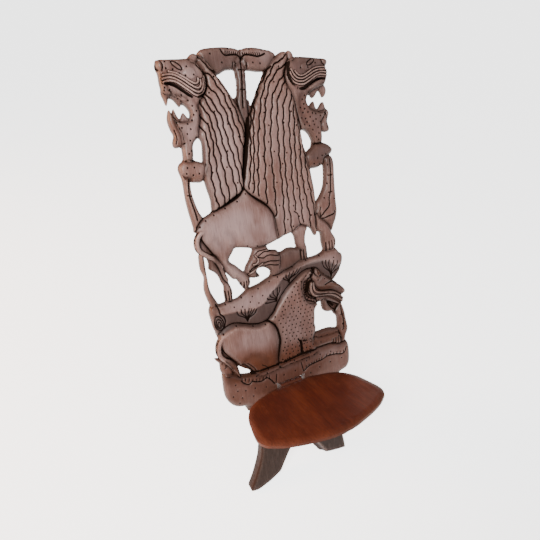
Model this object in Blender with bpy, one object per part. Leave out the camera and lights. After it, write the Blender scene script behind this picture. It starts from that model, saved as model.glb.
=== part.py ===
"""A carved chief chair: a tall relief plank that leans back on two legs, and an oval
seat plank whose narrow tail passes through a slot in it and down to the ground.

The carving is drawn flat, in millimetres, on a plank PATTERN_WIDE by PATTERN_LONG and
PATTERN_THICK: u runs right from the middle line, v runs up the plank from the feet, and
heights are measured out of its front. Each form is an outline with a height and a
rounded edge, and the highest form wins at each place.
"""
import math
from collections import namedtuple

import bmesh
import bpy
import numpy as np
from mathutils import Matrix, Vector

# Driving sizes, in metres
BOARD_LENGTH = 1.214
BOARD_WIDTH = 0.446
BOARD_THICK = 0.034
LEAN = math.radians(26.5)
HEEL_CUT = 0.004
SEAT_UP = 0.316
SEAT_THICK = 0.027
SEAT_WIDTH = 0.372
SEAT_DEPTH = 0.262
SEAT_DISH = 0.004
SEAT_DISH_EDGE = 0.093
SEAT_DISH_BEND = 0.7
SEAT_RIM = 0.017
SEAT_RIM_DROP = 0.006
# Under the rim the seat thins to this edge, over so wide a bevel that fades out towards
# the plank
SEAT_EDGE = 0.006
SEAT_UNDERCUT = 0.034
SEAT_ROOT = 0.030
TAIL_WIDTH = 0.070
TAIL_HEEL = 0.026
SLOT_SIDE_GAP = 0.012
SLOT_TOP_GAP = 0.008
CLEARANCE = 0.0003

# How finely the carving is sampled, and how many faces are kept
CARVING_STEP = 0.0036
SEAT_STEP = 0.008
BOARD_FACES = 8600
SEAT_FACES = 900

# The plank on which the carving is drawn, in millimetres, and the ground of its relief
PATTERN_WIDE = 446.0
PATTERN_LONG = 1214.0
PATTERN_THICK = 34.0
GROUND = -17.0
# Webs join the edges of forms that nearly meet
WEB = 7.0
# Behind, the pierced gaps are chamfered so far in, and their rims are so thick; the
# chamfer fades out above the seat, towards the square-edged legs
CHAMFER = 13.0
RIM = 7.0
CHAMFER_FOOT = 300.0
CHAMFER_FADE = 40.0
# Locks of hair swing so far to each side, once in so long a way
LOCK_SWING = 1.5
LOCK_WAVE = 46.0
# Each kind of cut line is so wide and so deep
LOCK_CUT = (8.0, 5.0)
FOLD_CUT = (5.0, 3.0)
EYE_CUT = (4.0, 3.0)
TOE_CUT = (5.0, 3.5)
# A round strand falls to its sides by this share of its width
STRAND_FALL = 0.6
# A form's face counts so far outside its outline
FACE_REACH = 1.0
# The empty margin of samples round the plank, and a depth far outside the wood
MARGIN = 12.0
OUTSIDE = -1000.0
# A cut edge keeps this share of a sample's step from the samples beside it
SLIVER = 0.1
TINY = 1e-9

Form = namedtuple("Form", "name top edge drop outline")
Sink = namedtuple("Sink", "name depth edge outline")
Groove = namedtuple("Groove", "width depth path")

TREE = [
    Form("left crown", -4, 12, 8, [
        (-119, 1196), (-117, 1205), (-104, 1211), (-70, 1214), (-36, 1213), (-16, 1206),
        (-14, 1180), (-36, 1167), (-57, 1165), (-76, 1156), (-100, 1160)]),
    Form("right crown", -4, 12, 8, [
        (-16, 1206), (-8, 1210), (2, 1213), (26, 1213), (52, 1209), (67, 1206), (80, 1194),
        (62, 1168), (36, 1160), (8, 1163), (-12, 1169)]),
    Form("trunk", -7, 10, 7, [
        (-33, 1180), (-32, 1141), (-35, 1114), (-40, 1089), (-32, 1052), (-24, 1036),
        (-16, 1052), (-13, 1089), (-10, 1114), (-8, 1141), (-7, 1180), (-20, 1190)]),
    Form("hollow between the manes", GROUND, 2, 1, [
        (-52, 1100), (-5, 1095), (-16, 1040), (-30, 960), (-46, 875), (-66, 875),
        (-64, 950), (-46, 1000), (-40, 1050)]),
]

# The wood left behind the joints between neighbouring forms
BACKING = [
    Form("upper backing", GROUND, 2, 1, [
        (-136, 1080), (-112, 1120), (-116, 1180), (-92, 1160), (-60, 1115), (-38, 1060),
        (-24, 1030), (-10, 1060), (30, 1130), (66, 1176), (108, 1192), (128, 1180),
        (108, 1130), (126, 1080), (134, 1025), (124, 1000), (140, 900), (146, 800),
        (152, 780), (135, 752), (90, 770), (15, 750), (-80, 745), (-140, 760), (-176, 800),
        (-176, 818), (-138, 848), (-144, 890), (-148, 930), (-136, 1000), (-142, 1030),
        (-134, 1050)]),
    Form("lower backing", GROUND, 2, 1, [
        (-182, 505), (-176, 540), (-100, 550), (-40, 540), (0, 590), (60, 640), (120, 650),
        (140, 630), (110, 600), (98, 540), (98, 440), (110, 425), (180, 420), (196, 400),
        (196, 370), (100, 360), (0, 360), (-100, 360), (-150, 376), (-170, 396),
        (-150, 384), (-112, 372), (-120, 390), (-140, 405), (-178, 455)]),
    Form("joint of knob and chin, left", GROUND, 2, 1, [
        (-192, 975), (-176, 975), (-170, 955), (-195, 955)]),
    Form("joint of knob and chin, right", GROUND, 2, 1, [
        (167, 985), (188, 985), (192, 968), (164, 968)]),
]

LEFT_HEAD = [
    Form("head", 0, 11, 10, [
        (-219, 1184), (-211, 1188), (-147, 1190), (-134, 1187), (-121, 1173), (-113, 1150),
        (-115, 1125), (-126, 1106), (-137, 1090), (-136, 1072), (-141, 1050), (-146, 1032),
        (-151, 1020), (-163, 1009), (-168, 998), (-170, 980), (-175, 966), (-183, 962),
        (-191, 966), (-195, 976), (-194, 1000), (-195, 1025), (-200, 1048), (-203, 1068),
        (-196, 1061), (-186, 1057), (-174, 1056), (-164, 1063), (-161, 1078), (-169, 1091),
        (-180, 1101), (-195, 1112), (-214, 1117), (-218, 1140), (-218, 1160), (-221, 1173)]),
    Form("ear", -3, 7, 7, [
        (-146, 1186), (-142, 1195), (-134, 1200), (-125, 1199), (-120, 1192), (-128, 1180),
        (-138, 1178)]),
    Form("upper canine", -8, 5, 5, [
        (-216, 1124), (-215, 1108), (-210, 1094), (-204, 1108), (-198, 1120)]),
    Form("upper tooth", -8, 5, 5, [
        (-200, 1116), (-191, 1103), (-182, 1090), (-177, 1095), (-168, 1104)]),
    Form("lower canine", -8, 5, 5, [
        (-205, 1058), (-202, 1073), (-197, 1087), (-192, 1072), (-186, 1056)]),
    Form("lower tooth", -8, 5, 5, [
        (-188, 1055), (-184, 1066), (-177, 1077), (-170, 1069), (-164, 1056)]),
    Form("lip", -3, 8, 9, [
        (-208, 1085), (-214, 1070), (-215, 1056), (-212, 1041), (-208, 1028), (-213, 1013),
        (-211, 1002), (-200, 1001), (-190, 1008), (-190, 1030), (-197, 1050), (-202, 1072)]),
]

LEFT_MANE = [
    Form("mane", -2, 14, 10, [
        (-122, 1194), (-110, 1189), (-92, 1166), (-75, 1145), (-58, 1117), (-44, 1088),
        (-32, 1056), (-29, 1038), (-33, 1008), (-42, 978), (-49, 945), (-53, 920),
        (-60, 884), (-90, 866), (-115, 852), (-145, 840), (-146, 870), (-151, 900),
        (-154, 930), (-150, 958), (-146, 985), (-144, 1008), (-149, 1024), (-140, 1050),
        (-136, 1070), (-139, 1092), (-126, 1110), (-113, 1132), (-114, 1165), (-128, 1182)]),
]

RIGHT_HEAD = [
    Form("head", 0, 11, 10, [
        (110, 1185), (128, 1191), (160, 1191), (194, 1188), (217, 1186), (226, 1180),
        (226, 1172), (221, 1164), (225, 1155), (224, 1143), (220, 1132), (212, 1121),
        (197, 1116), (180, 1110), (165, 1102), (157, 1094), (154, 1084), (159, 1072),
        (169, 1062), (181, 1058), (196, 1058), (211, 1061), (212, 1054), (203, 1043),
        (193, 1029), (192, 1010), (192, 995), (189, 980), (181, 974), (169, 975),
        (163, 982), (157, 997), (149, 1008), (139, 1014), (129, 1016), (124, 1035),
        (120, 1060), (116, 1085), (108, 1108), (99, 1126), (96, 1145), (101, 1166)]),
    Form("ear", -3, 7, 7, [
        (110, 1196), (112, 1203), (117, 1206), (125, 1201), (129, 1191), (122, 1181),
        (112, 1184)]),
    Form("upper canine", -8, 5, 5, [
        (197, 1120), (214, 1124), (221, 1107), (211, 1092), (204, 1104)]),
    Form("upper tooth", -8, 5, 5, [
        (199, 1118), (190, 1103), (179, 1092), (170, 1101), (162, 1106)]),
    Form("lower tooth", -8, 5, 5, [
        (158, 1066), (168, 1076), (178, 1084), (182, 1070), (187, 1056)]),
    Form("lower canine", -8, 5, 5, [
        (184, 1055), (196, 1070), (207, 1081), (212, 1070), (213, 1056)]),
    Form("lip", -3, 8, 9, [
        (211, 1063), (220, 1056), (220, 1045), (214, 1030), (218, 1013), (215, 1005),
        (204, 1004), (193, 1010), (192, 1026), (202, 1042), (208, 1052)]),
]

RIGHT_MANE = [
    Form("mane", -2, 14, 10, [
        (80, 1194), (95, 1203), (109, 1203), (113, 1190), (106, 1172), (97, 1158),
        (97, 1140), (105, 1122), (115, 1112), (120, 1088), (124, 1050), (128, 1020),
        (131, 998), (133, 972), (138, 955), (145, 914), (148, 890), (151, 854),
        (152, 822), (150, 795), (152, 775), (146, 755), (147, 742), (140, 726),
        (129, 747), (117, 757), (98, 764), (82, 754), (66, 750), (40, 744), (20, 739),
        (16, 770), (16, 801), (11, 818), (2, 832), (-10, 845), (-28, 858), (-46, 874),
        (-56, 888), (-52, 908), (-45, 932), (-40, 960), (-32, 985), (-24, 1012),
        (-22, 1040), (-15, 1060), (4, 1088), (17, 1110), (33, 1138), (47, 1160), (64, 1182)]),
]

BRANCHES = [
    Form("left knob", -1, 16, 14, [
        (-198, 969), (-208, 963), (-212, 952), (-210, 941), (-205, 933), (-198, 928),
        (-188, 926), (-185, 919), (-174, 917), (-160, 917), (-148, 935), (-146, 957),
        (-163, 966), (-182, 969)]),
    Form("left stem", -3, 11, 9, [
        (-207, 938), (-200, 930), (-190, 928), (-190, 900), (-189, 885), (-185, 865),
        (-180, 845), (-174, 828), (-188, 808), (-199, 800), (-203, 825), (-206, 850),
        (-208, 880), (-207, 910)]),
    Form("right knob", -1, 18, 15, [
        (134, 950), (147, 961), (158, 969), (168, 976), (190, 977), (206, 973),
        (218, 965), (223, 957), (220, 948), (211, 941), (199, 936), (192, 930),
        (188, 920), (178, 915), (164, 912), (148, 912), (138, 915), (132, 935)]),
    Form("right stem", -3, 12, 10, [
        (192, 936), (212, 941), (220, 933), (223, 920), (222, 890), (220, 850),
        (220, 800), (219, 782), (213, 762), (205, 747), (194, 729), (184, 748),
        (168, 767), (156, 774), (146, 788), (150, 802), (153, 817), (166, 831),
        (177, 846), (185, 862), (189, 880), (191, 900), (191, 920)]),
    Form("left branch", -3, 9, 8, [
        (-200, 741), (-190, 739), (-190, 700), (-190, 662), (-188, 642), (-183, 626),
        (-177, 612), (-172, 600), (-165, 588), (-170, 574), (-184, 574), (-190, 590),
        (-196, 606), (-200, 624), (-203, 645), (-201, 665), (-198, 682), (-203, 702),
        (-203, 724)]),
]

STRIDING_LION = [
    Form("body", 0, 30, 13, [
        (-56, 884), (-44, 871), (-26, 854), (-8, 840), (4, 829), (13, 815), (18, 801),
        (19, 773), (22, 741), (4, 733), (-10, 729), (-26, 726), (-49, 725), (-61, 730),
        (-99, 739), (-112, 728), (-123, 713), (-119, 703), (-110, 695), (-101, 685),
        (-91, 674), (-79, 660), (-75, 648), (-77, 634), (-86, 622), (-94, 623),
        (-102, 635), (-108, 648), (-113, 656), (-122, 659), (-130, 669), (-137, 680),
        (-142, 692), (-149, 708), (-160, 728), (-172, 748), (-187, 776), (-187, 790),
        (-200, 800), (-195, 809), (-186, 820), (-176, 828), (-151, 839), (-115, 850),
        (-88, 861), (-70, 871)]),
    Form("far hind leg", -8, 10, 8, [
        (-182, 737), (-179, 714), (-181, 699), (-170, 689), (-160, 675), (-155, 658),
        (-150, 645), (-151, 634), (-152, 620), (-148, 600), (-134, 600), (-130, 617),
        (-129, 631), (-133, 645), (-138, 657), (-144, 670), (-148, 690), (-152, 712),
        (-160, 732)]),
    Form("hollow inside the tail", GROUND, 3, 1, [
        (-178, 800), (-196, 790), (-203, 770), (-198, 748), (-182, 734), (-165, 722),
        (-150, 735), (-165, 765)]),
    Form("tail tuft", -2, 7, 7, [
        (-170, 730), (-157, 724), (-149, 708), (-144, 692), (-140, 676), (-136, 662),
        (-140, 654), (-149, 664), (-155, 682), (-160, 702), (-167, 718)]),
    Form("near foreleg", -3, 14, 11, [
        (68, 752), (82, 764), (98, 766), (116, 755), (110, 742), (106, 725), (105, 712),
        (108, 700), (108, 688), (106, 662), (90, 660), (78, 662), (79, 685), (82, 698),
        (76, 712), (74, 735)]),
    Form("far foreleg", -1, 14, 11, [
        (146, 792), (158, 777), (170, 767), (186, 749), (196, 725), (204, 711),
        (206, 700), (204, 688), (198, 674), (184, 670), (168, 672), (162, 690),
        (160, 705), (160, 720), (158, 732), (149, 738), (142, 755), (142, 780)]),
]

SMALL_LION = [
    Form("body", -5, 14, 10, [
        (-49, 729), (-18, 729), (-8, 716), (6, 712), (15, 710), (22, 703), (32, 703),
        (44, 708), (56, 709), (72, 705), (86, 698), (88, 664), (60, 654), (30, 644),
        (10, 640), (-12, 638), (-12, 655), (-19, 664), (-28, 670), (-40, 672),
        (-49, 670), (-52, 663), (-48, 655), (-48, 648), (-58, 647), (-72, 651),
        (-79, 660), (-86, 670), (-80, 686), (-70, 698), (-62, 711)]),
]

GROUND_BAND = [
    Form("band", -2, 10, 9, [
        (-200, 594), (-194, 600), (-176, 600), (-151, 603), (-133, 603), (-118, 605),
        (-104, 612), (-88, 621), (-74, 625), (-52, 629), (-27, 638), (-10, 643),
        (10, 644), (26, 650), (44, 654), (61, 661), (76, 667), (106, 668), (124, 668),
        (142, 670), (155, 674), (165, 678), (199, 679), (208, 671), (213, 664),
        (220, 659), (223, 650), (222, 640), (219, 630), (216, 620), (210, 606),
        (199, 593), (185, 582), (169, 594), (151, 608), (142, 618), (128, 632),
        (115, 635), (90, 632), (76, 627), (61, 618), (44, 606), (26, 594), (11, 579),
        (-1, 566), (-10, 553), (-20, 540), (-29, 531), (-42, 521), (-70, 515),
        (-92, 520), (-108, 526), (-124, 532), (-138, 537), (-151, 537), (-163, 534),
        (-177, 526), (-189, 518), (-194, 530), (-198, 546), (-200, 563), (-202, 580)]),
]

LYING_LION = [
    Form("rump", 0, 32, 14, [
        (-190, 520), (-177, 528), (-163, 535), (-151, 539), (-138, 539), (-124, 534),
        (-108, 528), (-92, 522), (-70, 517), (-48, 517), (-36, 512), (-26, 501),
        (-19, 487), (-15, 470), (-14, 450), (-19, 425), (-25, 400), (-26, 372),
        (-60, 366), (-92, 366), (-108, 382), (-117, 395), (-128, 409), (-136, 414),
        (-144, 412), (-152, 424), (-168, 446), (-180, 465), (-187, 490)]),
    Form("tail tuft", -2, 8, 8, [
        (-188, 450), (-170, 444), (-156, 424), (-149, 406), (-147, 390), (-150, 380),
        (-156, 386), (-165, 402), (-176, 420), (-188, 438)]),
    Form("hollow inside the tail", GROUND, 3, 1, [
        (-170, 512), (-188, 502), (-197, 482), (-195, 460), (-180, 440), (-160, 440),
        (-170, 470), (-174, 495)]),
    Form("cub's head", -6, 11, 9, [
        (-196, 442), (-198, 428), (-199, 416), (-195, 404), (-186, 396), (-166, 396),
        (-166, 412), (-176, 430), (-186, 444)]),
    Form("cub's ear", -9, 4, 4, [
        (-209, 453), (-201, 452), (-190, 445), (-194, 437), (-203, 443)]),
    Form("mane", -1, 18, 11, [
        (-42, 522), (-30, 531), (-20, 540), (-10, 554), (0, 568), (11, 581), (26, 596),
        (44, 608), (61, 620), (76, 629), (90, 634), (104, 637), (116, 634), (112, 618),
        (96, 606), (84, 600), (82, 580), (83, 560), (88, 546), (102, 538), (118, 528),
        (123, 522), (115, 514), (110, 502), (108, 482), (106, 468), (108, 455),
        (104, 438), (98, 425), (98, 378), (47, 372), (0, 370), (-28, 370), (-26, 400),
        (-19, 425), (-13, 450), (-14, 470), (-18, 488), (-25, 502), (-35, 513)]),
    Form("near foreleg", -2, 11, 10, [
        (52, 428), (75, 422), (100, 426), (112, 421), (140, 419), (165, 418),
        (179, 418), (188, 408), (195, 397), (195, 387), (189, 378), (176, 378),
        (160, 386), (138, 388), (94, 388), (60, 384), (50, 384)]),
    Form("far foreleg", -9, 8, 8, [
        (96, 434), (120, 435), (155, 435), (173, 430), (186, 424), (186, 405),
        (140, 405), (98, 408)]),
]

LYING_HEAD = [
    Form("hollow behind the cheek", GROUND, 3, 1, [
        (76, 606), (108, 630), (122, 620), (122, 600), (108, 585), (108, 560),
        (128, 548), (126, 528), (92, 536), (74, 570)]),
    Form("brow and muzzle", -4, 14, 10, [
        (110, 618), (120, 632), (134, 630), (143, 619), (152, 611), (169, 598),
        (186, 583), (204, 565), (217, 553), (222, 544), (220, 535), (211, 529),
        (204, 532), (197, 536), (186, 545), (170, 553), (154, 556), (138, 558),
        (124, 567), (116, 578), (112, 596)]),
    Form("ear", -1, 6, 6, [
        (119, 628), (124, 635), (131, 633), (140, 621), (138, 613), (131, 609),
        (123, 612), (118, 621)]),
    Form("lip roll", 0, 9, 9, [
        (105, 600), (98, 594), (93, 580), (93, 567), (99, 557), (108, 549), (120, 546),
        (138, 544), (154, 541), (169, 534), (183, 525), (195, 514), (204, 507),
        (211, 516), (210, 526), (200, 538), (186, 549), (170, 557), (154, 560),
        (138, 563), (125, 572), (117, 583), (113, 597)]),
    Form("jaw", -6, 9, 8, [
        (118, 548), (140, 546), (160, 540), (180, 527), (200, 509), (206, 503),
        (200, 497), (188, 506), (174, 515), (160, 522), (150, 524), (140, 530),
        (131, 528), (122, 530)]),
    Form("tongue", -4, 8, 9, [
        (139, 533), (152, 530), (156, 518), (161, 508), (169, 498), (178, 491),
        (166, 488), (152, 490), (143, 497), (139, 511)]),
    Form("hollow of the mouth", GROUND, 3, 1, [
        (148, 530), (178, 520), (206, 506), (208, 490), (194, 472), (182, 474),
        (172, 490), (160, 506)]),
    Form("right branch", -3, 12, 10, [
        (203, 508), (211, 490), (215, 473), (217, 455), (221, 430), (220, 412),
        (212, 396), (206, 380), (192, 380), (190, 400), (186, 420), (188, 444),
        (188, 462), (183, 474), (179, 486), (188, 498)]),
]

LOG = [
    Form("log", -1, 16, 12, [
        (-194, 402), (-186, 405), (-178, 402), (-163, 394), (-150, 384), (-138, 380),
        (-118, 377), (-90, 376), (-60, 376), (-30, 378), (0, 381), (40, 386), (60, 387),
        (94, 390), (120, 392), (150, 388), (170, 381), (190, 378), (206, 381),
        (215, 371), (218, 354), (218, 327), (214, 304), (203, 289), (190, 284),
        (173, 279), (150, 262), (0, 250), (-130, 262), (-142, 284), (-157, 289),
        (-173, 295), (-187, 307), (-195, 321), (-199, 339), (-200, 356), (-199, 377),
        (-198, 392)]),
]

LEGS = [
    Form("legs", -4, 7, 6, [
        (-122, 300), (-121, 250), (-118, 212), (-117, 178), (-121, 140), (-131, 100),
        (-147, 60), (-163, 30), (-173, 14), (-174, 5), (-167, 1), (-150, -1),
        (-128, 4), (-100, 14), (-80, 23), (-70, 29), (-57, 50), (-39, 76), (-20, 102),
        (-6, 122), (6, 129), (17, 118), (34, 92), (50, 64), (64, 42), (76, 26),
        (100, 15), (130, 8), (156, 3), (166, 2), (167, 10), (164, 40), (160, 68),
        (156, 110), (149, 150), (143, 190), (138, 230), (138, 300)]),
]

# Tails are round strands, given by their middle line
TAILS = [
    Groove(13, -3, [(-179, 797), (-190, 791), (-198, 780), (-201, 766), (-199, 754),
                    (-191, 743), (-178, 733), (-165, 723), (-157, 712), (-150, 698)]),
    Groove(14, -3, [(-168, 510), (-180, 505), (-190, 494), (-195, 479), (-195, 463),
                    (-188, 449), (-177, 436), (-166, 422), (-157, 408)]),
]

SINKS = [
    Sink("left lip slit", 9, 5, [
        (-209, 1139), (-195, 1140), (-180, 1131), (-163, 1117), (-149, 1107),
        (-158, 1106), (-172, 1116), (-187, 1127), (-200, 1133)]),
    Sink("right lip slit", 9, 5, [
        (213, 1139), (200, 1141), (182, 1135), (163, 1123), (145, 1115), (128, 1112),
        (148, 1109), (168, 1117), (186, 1127), (203, 1133)]),
    Sink("shaded side of the band", 6, 12, [
        (-196, 577), (-168, 578), (-140, 577), (-120, 573), (-97, 569), (-75, 569),
        (-50, 577), (-38, 590), (-20, 605), (-2, 619), (12, 631), (26, 638), (49, 643),
        (70, 650), (90, 655), (116, 658), (142, 658), (162, 654), (181, 646),
        (200, 634), (216, 632), (218, 610), (185, 570), (128, 622), (90, 622),
        (44, 596), (0, 552), (-30, 518), (-70, 500), (-140, 522), (-200, 505)]),
    Sink("lying lion's ear", 7, 4, [(126, 628), (133, 628), (136, 616), (129, 612)]),
    Sink("right leg's inner side", 9, 10, [
        (30, 90), (58, 80), (78, 50), (95, 20), (72, 12), (40, 60)]),
]

LEFT_LOCKS = [
    [(-122, 1192), (-92, 1161), (-65, 1116), (-46, 1062), (-34, 1012)],
    [(-131, 1173), (-99, 1150), (-73, 1104), (-58, 1050), (-41, 984)],
    [(-111, 1134), (-88, 1101), (-71, 1050), (-61, 985), (-53, 915)],
    [(-117, 1114), (-90, 1065), (-82, 1012), (-70, 950), (-62, 887)],
    [(-126, 1109), (-103, 1061), (-95, 1005), (-84, 935), (-77, 871)],
    [(-135, 1099), (-115, 1051), (-109, 1000), (-102, 930), (-97, 863)],
    [(-137, 1069), (-121, 1030), (-120, 985), (-119, 920), (-112, 855)],
    [(-142, 1044), (-131, 1010), (-134, 965), (-136, 910), (-131, 847)],
]

RIGHT_LOCKS = [
    [(48, 1162), (12, 1108), (-12, 1050), (-26, 965), (-43, 883)],
    [(60, 1170), (25, 1125), (-2, 1065), (-16, 975), (-32, 872)],
    [(108, 1194), (66, 1167), (30, 1112), (6, 1030), (-10, 935), (-20, 862)],
    [(106, 1178), (59, 1141), (34, 1085), (18, 1005), (7, 915), (1, 838)],
    [(96, 1151), (60, 1110), (44, 1052), (31, 965), (28, 870), (23, 803)],
    [(96, 1134), (71, 1096), (60, 1042), (53, 950), (50, 850), (42, 750)],
    [(100, 1116), (83, 1076), (75, 1025), (67, 930), (64, 850), (65, 755)],
    [(108, 1101), (95, 1046), (88, 960), (83, 884), (84, 809)],
    [(111, 1076), (107, 1020), (99, 930), (101, 850), (102, 772)],
    [(122, 1040), (117, 960), (115, 890), (120, 830), (126, 757)],
    [(129, 1005), (129, 935), (133, 870), (140, 810), (144, 748)],
]

# Each cheek's folds lie between a lower and an upper line
LEFT_CHEEK = (
    [(-213, 1142), (-197, 1142), (-179, 1133), (-161, 1118), (-147, 1110), (-134, 1108),
     (-123, 1115), (-118, 1130), (-119, 1148)],
    [(-213, 1160), (-195, 1159), (-176, 1152), (-161, 1143), (-150, 1137), (-140, 1134),
     (-132, 1137), (-127, 1145), (-126, 1155)])
RIGHT_CHEEK = (
    [(217, 1146), (200, 1145), (182, 1139), (162, 1126), (147, 1119), (130, 1117),
     (114, 1123), (104, 1138), (101, 1156)],
    [(217, 1163), (196, 1162), (176, 1158), (160, 1152), (148, 1150), (136, 1152),
     (126, 1158), (118, 1164), (113, 1170)])
CHEEK_FOLDS = 5

LINES = [
    Groove(6, 5, [(-64, 1207), (-61, 1200), (-54, 1195), (-40, 1196), (-24, 1195),
                  (-17, 1184), (-20, 1140), (-24, 1110), (-27, 1078)]),
    Groove(6, 5, [(-17, 1184), (-11, 1192), (-2, 1196), (16, 1194), (30, 1192), (48, 1198)]),
    Groove(6, 4, [(-193, 926), (-197, 905), (-198, 885), (-195, 866), (-192, 848),
                  (-190, 828)]),
    Groove(6, 4, [(207, 930), (207, 900), (203, 870), (200, 842), (194, 826), (193, 806),
                  (183, 796), (170, 786), (161, 776)]),
    Groove(6, 4, [(208, 786), (203, 779), (183, 775), (169, 770)]),
    Groove(6, 4, [(-183, 606), (-177, 590), (-175, 577), (-167, 567), (-163, 554),
                  (-168, 537)]),
    Groove(7, 4, [(41, 437), (47, 425), (48, 405), (48, 388)]),
    Groove(6, 4, [(200, 498), (199, 480), (203, 460), (204, 440), (202, 425)]),
    Groove(7, 4, [(-150, 371), (-141, 359), (-128, 352), (-118, 358), (-106, 352),
                  (-89, 348), (-74, 353), (-62, 342), (-52, 326)]),
    Groove(7, 4, [(47, 331), (64, 341), (82, 345), (111, 346), (132, 352), (161, 349),
                  (182, 342), (197, 346), (203, 361)]),
    Groove(5, 3, [(18, 706), (18, 690), (17, 662)]),
    Groove(5, 3, [(-52, 705), (-38, 713), (-20, 717), (-5, 712), (10, 705)]),
    Groove(5, 3, [(-46, 695), (-30, 703), (-10, 702), (14, 697)]),
    Groove(5, 3, [(-38, 686), (-20, 690), (0, 688), (14, 684)]),
    Groove(6, 4, [(-44, 688), (-60, 679), (-78, 667)]),
    Groove(5, 3, [(106, 596), (101, 580), (104, 566), (115, 556), (135, 551), (155, 549),
                  (172, 543), (190, 532), (203, 518)]),
]

# Each eye is an oval ring: middle, half length, half width and tilt in degrees
EYES = [(-175, 1174, 14, 5, -38), (172, 1176, 14, 5, 29)]

# Each paw's toes are short grooves: first, last, how many, length
TOES = [
    ((-103, 626), (-82, 629), 4, 20), ((-149, 606), (-134, 606), 3, 26),
    ((84, 670), (102, 670), 3, 25), ((168, 677), (197, 681), 4, 24),
    ((160, 382), (187, 382), 4, 18)]


def flowing(points, closed, steps=3):
    """A smooth curve through the points."""
    p = np.array(points, dtype=float)
    if closed:
        p = np.vstack([p[-1:], p, p[:2]])
    else:
        p = np.vstack([2 * p[0] - p[1], p, 2 * p[-1] - p[-2]])
    t = (np.arange(steps) / steps)[:, None]
    runs = []
    for a, b, c, d in zip(p, p[1:], p[2:], p[3:]):
        runs.append(b + 0.5 * t * (c - a + t * (2 * a - 5 * b + 4 * c - d
                                                + t * (3 * (b - c) + d - a))))
    if not closed:
        runs.append(p[-2:-1])
    return np.vstack(runs)


def distance_to(path, u, v, closed):
    """How far each place is from a line."""
    ends = np.roll(path, -1, axis=0) if closed else path[1:]
    nearest = np.full(u.shape, np.inf)
    for (au, av), (bu, bv) in zip(path, ends):
        du = bu - au
        dv = bv - av
        share = ((u - au) * du + (v - av) * dv) / max(du * du + dv * dv, TINY)
        share = np.clip(share, 0.0, 1.0)
        nearest = np.minimum(nearest, (u - au - share * du) ** 2 + (v - av - share * dv) ** 2)
    return np.sqrt(nearest)


def is_inside(path, u, v):
    """Which places are inside a closed line."""
    inside = np.zeros(u.shape, dtype=bool)
    for (au, av), (bu, bv) in zip(path, np.roll(path, -1, axis=0)):
        if av == bv:
            continue
        crosses = (av > v) != (bv > v)
        inside ^= crosses & (u < au + (v - av) * (bu - au) / (bv - av))
    return inside


def near(path, u, v, margin):
    """The part of the plank that a form can reach, as a pair of slices."""
    columns = np.where((u[0] > path[:, 0].min() - margin) & (u[0] < path[:, 0].max() + margin))[0]
    rows = np.where((v[:, 0] > path[:, 1].min() - margin)
                    & (v[:, 0] < path[:, 1].max() + margin))[0]
    return slice(rows[0], rows[-1] + 1), slice(columns[0], columns[-1] + 1)


def quarter_round(depth_in, edge):
    """One at the edge of a form, nothing where its rounding ends."""
    share = np.clip(1.0 - depth_in / edge, 0.0, 1.0)
    return 1.0 - np.sqrt(1.0 - share ** 2)


def joined(first, second):
    """The union of two forms, with a small web where their edges nearly meet."""
    web = np.clip(1.0 - np.abs(first - second) / WEB, 0.0, 1.0)
    return np.maximum(first, second) + 0.25 * WEB * web * web


def ellipse(middle_u, middle_v, half_long, half_wide, tilt, count=14):
    """An oval line."""
    turn = np.linspace(0.0, 2.0 * math.pi, count, endpoint=False)
    lean = math.radians(tilt)
    along = half_long * np.cos(turn)
    across = half_wide * np.sin(turn)
    return np.stack([middle_u + along * math.cos(lean) - across * math.sin(lean),
                     middle_v + along * math.sin(lean) + across * math.cos(lean)], axis=1)


def wavy(points, index):
    """A lock's groove, which wavers on its way down, each one at its own phase."""
    path = flowing(points, closed=False, steps=8)
    heading = np.gradient(path, axis=0)
    heading /= np.linalg.norm(heading, axis=1)[:, None]
    travel = np.concatenate([[0.0], np.cumsum(np.linalg.norm(np.diff(path, axis=0), axis=1))])
    sway = LOCK_SWING * np.sin(2.0 * math.pi * travel / LOCK_WAVE + 1.7 * index)
    return path + sway[:, None] * np.stack([-heading[:, 1], heading[:, 0]], axis=1)


def all_forms():
    """Every raised form of the relief."""
    return (BACKING + LEGS + LOG + TREE + LEFT_MANE + LEFT_HEAD + RIGHT_MANE + RIGHT_HEAD
            + BRANCHES + STRIDING_LION + SMALL_LION + GROUND_BAND + LYING_LION + LYING_HEAD)


def all_grooves():
    """Every cut line of the relief, as a width, a depth and a path."""
    for index, lock in enumerate(LEFT_LOCKS + RIGHT_LOCKS):
        yield *LOCK_CUT, wavy(lock, index)
    for lower, upper in (LEFT_CHEEK, RIGHT_CHEEK):
        for share in np.linspace(0.0, 1.0, CHEEK_FOLDS):
            fold = (1.0 - share) * np.array(lower) + share * np.array(upper)
            yield *FOLD_CUT, flowing(fold, closed=False)
    for middle_u, middle_v, half_long, half_wide, tilt in EYES:
        oval = ellipse(middle_u, middle_v, half_long, half_wide, tilt)
        yield *EYE_CUT, np.vstack([oval, oval[:1]])
    for first, last, count, length in TOES:
        for share in np.linspace(0.0, 1.0, count):
            foot = (1.0 - share) * np.array(first) + share * np.array(last)
            yield *TOE_CUT, np.array([foot, foot + [0.0, length]])
    for line in LINES:
        yield line.width, line.depth, flowing(line.path, closed=False)


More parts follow.
